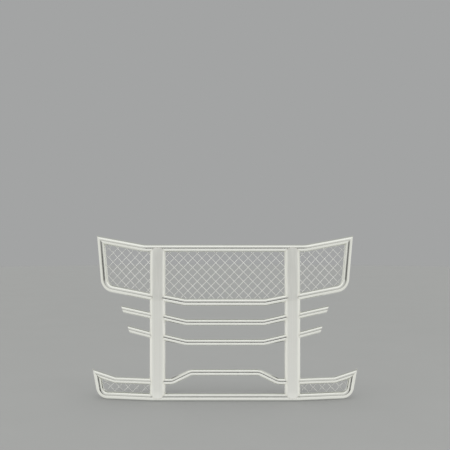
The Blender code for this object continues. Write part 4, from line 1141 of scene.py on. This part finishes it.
PAINT = powder_coated_steel()
STOP_PIN_R = 0.006
stop_low, stop_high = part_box("stop_pin_right")
stop_pin = ((stop_low.y + stop_high.y) / 2 - GUARD_Y, (stop_low.z + stop_high.z) / 2)
stop_plate_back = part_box("stop_plate_right")[1].y
flange_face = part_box("bracket_flange_right")[0].y
LYING = Matrix.Rotation(math.pi / 2, 4, 'X')    # turns a plate made in XY to stand across the truck
for side, label in SIDE_NAMES.items():
    front = stop_plate_back - GUARD_Y + 0.0003
    rear = flange_face - GUARD_Y - 0.0003
    outline = [(rear, CHEEK_LOW), (rear, CHEEK_SHOULDER), (0.190, 0.330), (0.150, CHEEK_HIGH),
               (front, CHEEK_HIGH), (front, 0.290)]
    outline += arc(pivot, EYE_R + 0.004, math.radians(165), math.radians(255), 18)
    outline.append((0.180, CHEEK_LOW))
    holes = [circle(pivot, BOLT_R + 0.0006), circle(stop_pin, STOP_PIN_R + 0.0002),
             circle(latch, PIN_R + 0.0006)]
    for cheek in ("inner", "outer"):
        node = "bracket_cheek_" + cheek + "_" + label
        finish_piece("cheek_plate_" + cheek + "_" + label, standing_plate(node, [outline] + holes), PAINT,
                     "chassis_brackets", "bracket_paint", node, smooth_angle=PLATE_ANGLE)

    low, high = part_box("bracket_flange_" + label)
    inner = ends_along_x("bracket_flange_" + label, side)[0]
    left, right = low.x + FLANGE_CORNER_R, high.x - FLANGE_CORNER_R
    bottom, top = low.z + FLANGE_CORNER_R, high.z - FLANGE_CORNER_R
    plate = []
    corners = ((right, top), (left, top), (left, bottom), (right, bottom))
    for quarter, centre in enumerate(corners):
        start = quarter * math.pi / 2
        plate += arc(centre, FLANGE_CORNER_R, start, start + math.pi / 2, 6)
    bolt_holes = [circle((inner + side * x, z), FLANGE_HOLE_R) for x, z in FLANGE_BOLTS]
    mesh = flat_shape([plate] + bolt_holes, high.y - low.y, PLATE_EDGE)
    mesh.transform(Matrix.Translation((0.0, (low.y + high.y) / 2, 0.0)) @ LYING)
    finish_piece("chassis_flange_" + label, mesh, PAINT, "chassis_brackets", "bracket_paint",
                 "bracket_flange_" + label, smooth_angle=PLATE_ANGLE)

    low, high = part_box("stop_plate_" + label)
    size = high - low
    mesh = flat_shape([[(-size.x / 2, -size.z / 2), (size.x / 2, -size.z / 2),
                        (size.x / 2, size.z / 2), (-size.x / 2, size.z / 2)]], size.y, PLATE_EDGE)
    mesh.transform(Matrix.Translation((low + high) / 2) @ LYING)
    finish_piece("buffer_plate_" + label, mesh, PAINT, "chassis_brackets", "bracket_paint",
                 "stop_plate_" + label, smooth_angle=PLATE_ANGLE)

    # fillet welds, coated over with the bracket: cheeks to flange, cheeks to stop plate, guide to cheek
    beads = bmesh.new()
    flange = cutter("flange_solid", box_mesh(*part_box("bracket_flange_" + label)))
    stop_solid = cutter("stop_solid", box_mesh(*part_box("stop_plate_" + label)))
    for cheek in ("inner", "outer"):
        low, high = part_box("bracket_cheek_" + cheek + "_" + label)
        foot = box_mesh((low.x, high.y - 0.02, CHEEK_LOW), (high.x, high.y + 0.002, CHEEK_SHOULDER))
        weld_bead(beads, foot, flange, CHEEK_FILLET)
        nose = box_mesh((low.x + JOINT_GAP, stop_plate_back - 0.002, 0.394),
                        (high.x - JOINT_GAP, stop_plate_back + 0.02, 0.430))
        weld_bead(beads, nose, stop_solid, STOP_FILLET)
    low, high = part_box("bracket_cheek_outer_" + label)
    cheek_solid = cutter("cheek_solid", box_mesh((low.x, low.y, 0.25), (high.x, high.y, 0.43)))
    low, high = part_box("latch_guide_" + label)
    guide_r = (high.z - low.z) / 2
    centre = (low + high) / 2
    ends = [Vector((centre.x + side * shift, centre.y, LATCH_Z)) for shift in (-0.027, 0.017)]
    weld_bead(beads, sweep(ends, guide_r, capped=True), cheek_solid, GUIDE_FILLET)
    finish_piece("bracket_welds_" + label, mesh_of(beads, "welds"), PAINT, "chassis_brackets",
                 "bracket_paint")


# --- pivot bolts, stop pins and latches -------------------------------------------------------
# M20 bolts with nuts, dowel stop pins, and a spring-loaded latch pin in a turned guide on each side, with
# a cross handle to draw it. Cut and turned steel, zinc-plated and passivated, but for the painted guides
# and the oiled springs.

def zinc_plated_steel():
    """Bright zinc on turned steel: pale grey metal, faintly blue and straw where the passivation film
    thickens, and duller where fingers and weather have been."""
    material, tree, shader = start_material("zinc_plated_steel", "#c4c6c6", 1.0, 0.32)
    spot = add_node(tree, "ShaderNodeTexCoord").outputs["Object"]
    film = add_node(tree, "ShaderNodeTexNoise", inputs={"Vector": spot, "Scale": 60.0, "Detail": 3.0})
    tint = add_node(tree, "ShaderNodeValToRGB", inputs={0: film})
    for element, place, colour in zip(tint.color_ramp.elements, (0.35, 0.68), ("#b7bec6", "#d2cdbb")):
        element.position = place
        element.color = linear(colour)
    rough = add_node(tree, "ShaderNodeMath", {"operation": 'MULTIPLY_ADD'}, {0: film, 1: 0.3, 2: 0.18})
    feed(tree, shader, {"Roughness": rough, "Base Color": tint})
    return material


def oiled_spring_steel():
    """Patented spring wire, dark grey under an oil film."""
    material, tree, shader = start_material("oiled_spring_steel", "#6a6b6d", 1.0, 0.34)
    spot = add_node(tree, "ShaderNodeTexCoord").outputs["Object"]
    film = add_node(tree, "ShaderNodeTexNoise", inputs={"Vector": spot, "Scale": 400.0, "Detail": 2.0})
    rough = add_node(tree, "ShaderNodeMath", {"operation": 'MULTIPLY_ADD'}, {0: film, 1: 0.3, 2: 0.2})
    feed(tree, shader, {"Roughness": rough})
    return material


ZINC = zinc_plated_steel()
SPRING = oiled_spring_steel()
HEX_R = 0.01732                        # to the corners of a 30 mm hexagon
HEX_ANGLE = 28.0                       # keeps the chamfer and the thread crisp
HEAD_THICK = 0.0125
THREAD_PITCH = 0.0025
THREAD_LENGTH = 0.022
LEAD = 0.001                           # chamfer of a dowel's ends
GUIDE_R = 0.0170
CUP_R = 0.0135                         # the guide's hollow, in which the spring works
GUIDE_END = 0.004                      # thickness of the guide's outer end
COLLAR = 0.0323                        # from the pin's tip to its collar
COLLAR_R = 0.0125
COLLAR_THICK = 0.003
SPRING_WIRE_R = 0.0009
COIL_R = 0.0111
SPRING_TURNS = 5
TURN_POINTS = 28                       # points drawn for each turn
TIGHTER = 0.027                        # how much closer the coils lie at both ends and in the middle
ORIGIN = (0.0, 0.0, 0.0)


def hexagon(thickness, bore=0.0):
    """Hexagon head or nut on local Z, from Z = 0 up, its top corners chamfered at 30 degrees."""
    outlines = [circle((0.0, 0.0), HEX_R, 6)]
    if bore > 0.0:
        outlines.append(circle((0.0, 0.0), bore, 40))
    mesh = flat_shape(outlines, thickness)
    mesh.transform(Matrix.Translation((0.0, 0.0, thickness / 2)))
    flat_r = HEX_R * math.cos(math.pi / 6)
    fall = (HEX_R + 0.001 - flat_r) * math.tan(math.radians(30))
    dome = turned([(0.0, -0.001), (HEX_R + 0.001, -0.001), (HEX_R + 0.001, thickness - fall),
                   (flat_r, thickness), (0.0, thickness)], 'Z', ORIGIN)
    head = add_object("hexagon", mesh)
    shaping = head.modifiers.new("chamfer", 'BOOLEAN')
    shaping.operation = 'INTERSECT'
    shaping.object = cutter("dome", dome)
    return settle(head)


def along_x(mesh, x, side, centre):
    """Turn a mesh made on local Z to run outwards from x, on the axis through centre."""
    turn = Matrix.Rotation(side * math.pi / 2, 4, 'Y')
    mesh.transform(Matrix.Translation((x, centre.y, centre.z)) @ turn)
    return mesh


def thread_profile(radius, start, end, pitch):
    """Section of a thread as rings of crests and roots, which ends on a root."""
    points = []
    turns = int((end - start) / pitch)
    depth = 0.55 * pitch
    for i in range(turns):
        at = start + i * pitch
        points += [(radius, at), (radius, at + 0.15 * pitch), (radius - depth, at + 0.5 * pitch)]
    return points + [(radius - depth, end)]


for side, label in SIDE_NAMES.items():
    tip, outer = ends_along_x("pivot_bolt_" + label, side)
    nut_end, nut_face = ends_along_x("pivot_nut_" + label, side)
    work = bmesh.new()
    head = along_x(hexagon(HEAD_THICK), outer - side * HEAD_THICK, side, PIVOT)
    work.from_mesh(head)
    length = abs(outer - tip) - HEAD_THICK * 0.5
    plain = length - THREAD_LENGTH
    shank = [(0.0, 0.0), (BOLT_R, 0.0), (BOLT_R, plain)]
    shank += thread_profile(BOLT_R - 0.0001, plain + 0.0005, length - 0.0005, THREAD_PITCH)
    shank.append((0.0, length))
    rod = turned([(radius, -along) for radius, along in shank], 'Z', ORIGIN)
    work.from_mesh(along_x(rod, outer - side * HEAD_THICK * 0.5, side, PIVOT))
    finish_piece("pivot_hex_bolt_" + label, mesh_of(work, "bolt"), ZINC, "chassis_brackets",
                 "zinc_hardware", "pivot_bolt_" + label, smooth_angle=HEX_ANGLE)
    nut = along_x(hexagon(abs(nut_face - nut_end), BOLT_R + 0.0002), nut_face, -side, PIVOT)
    finish_piece("pivot_hex_nut_" + label, nut, ZINC, "chassis_brackets", "zinc_hardware",
                 "pivot_nut_" + label, smooth_angle=HEX_ANGLE)

    low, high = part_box("stop_pin_" + label)
    half = (high.x - low.x) / 2
    dowel = [(0.0, -half), (STOP_PIN_R - LEAD, -half), (STOP_PIN_R, LEAD - half),
             (STOP_PIN_R, half - LEAD), (STOP_PIN_R - LEAD, half), (0.0, half)]
    mesh = turned(dowel, 'X', (low + high) / 2)
    finish_piece("stop_dowel_" + label, mesh, ZINC, "chassis_brackets", "zinc_hardware",
                 "stop_pin_" + label)

    # the latch: guide on the outer cheek, pin with collar, cross handle and spring
    latch_axis = Vector((0.0, GUARD_Y + LATCH_DEPTH, LATCH_Z))
    inner, outer = ends_along_x("latch_guide_" + label, side)
    length = abs(outer - inner)
    bore = PIN_R + 0.0006
    cup_end = length - GUIDE_END
    guide = [(CUP_R, 0.0), (GUIDE_R, 0.0), (GUIDE_R, length - 0.0012), (GUIDE_R - 0.0012, length),
             (0.0100, length), (bore, length - 0.0006), (bore, cup_end), (CUP_R, cup_end)]
    mesh = along_x(turned(guide, 'Z', ORIGIN), inner, side, latch_axis)
    finish_piece("latch_guide_tube_" + label, mesh, PAINT, "chassis_brackets", "bracket_paint",
                 "latch_guide_" + label)

    # a bullet tip, the collar that the spring pushes, and a shallow groove beside the handle
    tip, tail = ends_along_x("latch_pin_" + label, side)
    length = abs(tail - tip)
    collar_end = COLLAR + COLLAR_THICK
    edge = 0.0003
    pin = [(0.0, 0.0), (PIN_R - 0.0024, 0.0), (PIN_R - 0.0016, 0.0004), (PIN_R, 0.003), (PIN_R, COLLAR),
           (COLLAR_R - edge, COLLAR), (COLLAR_R, COLLAR + edge), (COLLAR_R, collar_end - edge),
           (COLLAR_R - edge, collar_end), (PIN_R, collar_end), (PIN_R, length - 0.011),
           (PIN_R - 0.0007, length - 0.0106), (PIN_R - 0.0007, length - 0.0101), (PIN_R, length - 0.0097),
           (PIN_R, length - 0.0012), (PIN_R - 0.0012, length), (0.0, length)]
    body = "latch_" + label
    mesh = along_x(turned(pin, 'Z', ORIGIN), tip, side, latch_axis)
    finish_piece("latch_bolt_" + label, mesh, ZINC, body, "zinc_hardware", "latch_pin_" + label)

    low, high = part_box("latch_handle_" + label)
    middle = (low + high) / 2
    handle_r = (high.x - low.x) / 2
    half = (high.z - low.z) / 2
    knob = [(0.0, -half)] + [(handle_r * math.cos(a), -half + handle_r + handle_r * math.sin(a))
                             for a in (math.radians(d) for d in (-60, -30, 0))]
    knob += [(radius, -along) for radius, along in reversed(knob[1:])] + [(0.0, half)]
    mesh = turned(knob, 'Z', middle, steps=32)
    finish_piece("latch_cross_handle_" + label, mesh, ZINC, body, "zinc_hardware",
                 "latch_handle_" + label)

    inner, outer = ends_along_x("latch_spring_" + label, side)
    start = outer - side * SPRING_WIRE_R
    end = inner + side * SPRING_WIRE_R
    coil = []
    for i in range(SPRING_TURNS * TURN_POINTS + 1):
        share = i / (SPRING_TURNS * TURN_POINTS)
        eased = share - TIGHTER * math.sin(4 * math.pi * share)
        angle = 2 * math.pi * i / TURN_POINTS
        coil.append(Vector((start + (end - start) * eased, latch_axis.y + COIL_R * math.cos(angle),
                            latch_axis.z + COIL_R * math.sin(angle))))
    mesh = sweep(coil, SPRING_WIRE_R, capped=True, sides=10)
    spring = show_mesh("latch_coil_spring_" + label, mesh, SPRING, 50.0)
    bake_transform(spring)
    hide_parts("latch_spring_" + label)


# --- rubber buffers ---------------------------------------------------------------------------
# A moulded rubber puck bonded to each stop plate, which the closed guard rests against without rattling.

def moulded_rubber():
    """Moulded natural rubber: nearly black and matt, with its mould's faint grain and a grey bloom."""
    material, tree, shader = start_material("moulded_black_rubber", "#191919", 0.0, 0.78)
    spot = add_node(tree, "ShaderNodeTexCoord").outputs["Object"]
    bloom = add_node(tree, "ShaderNodeTexNoise", inputs={"Vector": spot, "Scale": 70.0, "Detail": 4.0})
    tone = add_node(tree, "ShaderNodeMix", {"data_type": 'RGBA'},
                    {0: bloom, 6: linear("#141414"), 7: linear("#2b2a29")})
    grain = add_node(tree, "ShaderNodeTexNoise", inputs={"Vector": spot, "Scale": 900.0, "Detail": 1.0})
    relief = add_node(tree, "ShaderNodeBump", inputs={"Height": grain, "Strength": 0.3,
                                                      "Distance": 0.0001})
    feed(tree, shader, {"Base Color": tone.outputs[2], "Normal": relief})
    return material


RUBBER = moulded_rubber()
for side, label in SIDE_NAMES.items():
    low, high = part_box("bump_stop_" + label)
    half = (high.y - low.y) / 2
    radius = (high.x - low.x) / 2
    round_r = 0.0035
    rim = list(reversed(arc((radius - round_r, half - round_r), round_r, 0.0, math.pi / 2, 6)))
    # a shallow dimple in the face, the rounded rim, a slight waist and a square foot
    profile = [(0.0, half - 0.0006), (0.005, half - 0.0006), (0.006, half)] + rim
    profile += [(radius * 0.96, 0.0), (radius, -half * 0.6), (radius, 0.0005 - half),
                (radius - 0.0005, -half), (0.0, -half)]
    mesh = turned([(r, -along) for r, along in profile], 'Y', (low + high) / 2)
    finish_piece("rubber_buffer_" + label, mesh, RUBBER, "chassis_brackets", "rubber_buffer",
                 "bump_stop_" + label)


# --- finished guard ---------------------------------------------------------------------------
# The solids that shaped other pieces are taken away.

for solid in CUTTERS:
    bpy.data.objects.remove(solid, do_unlink=True)
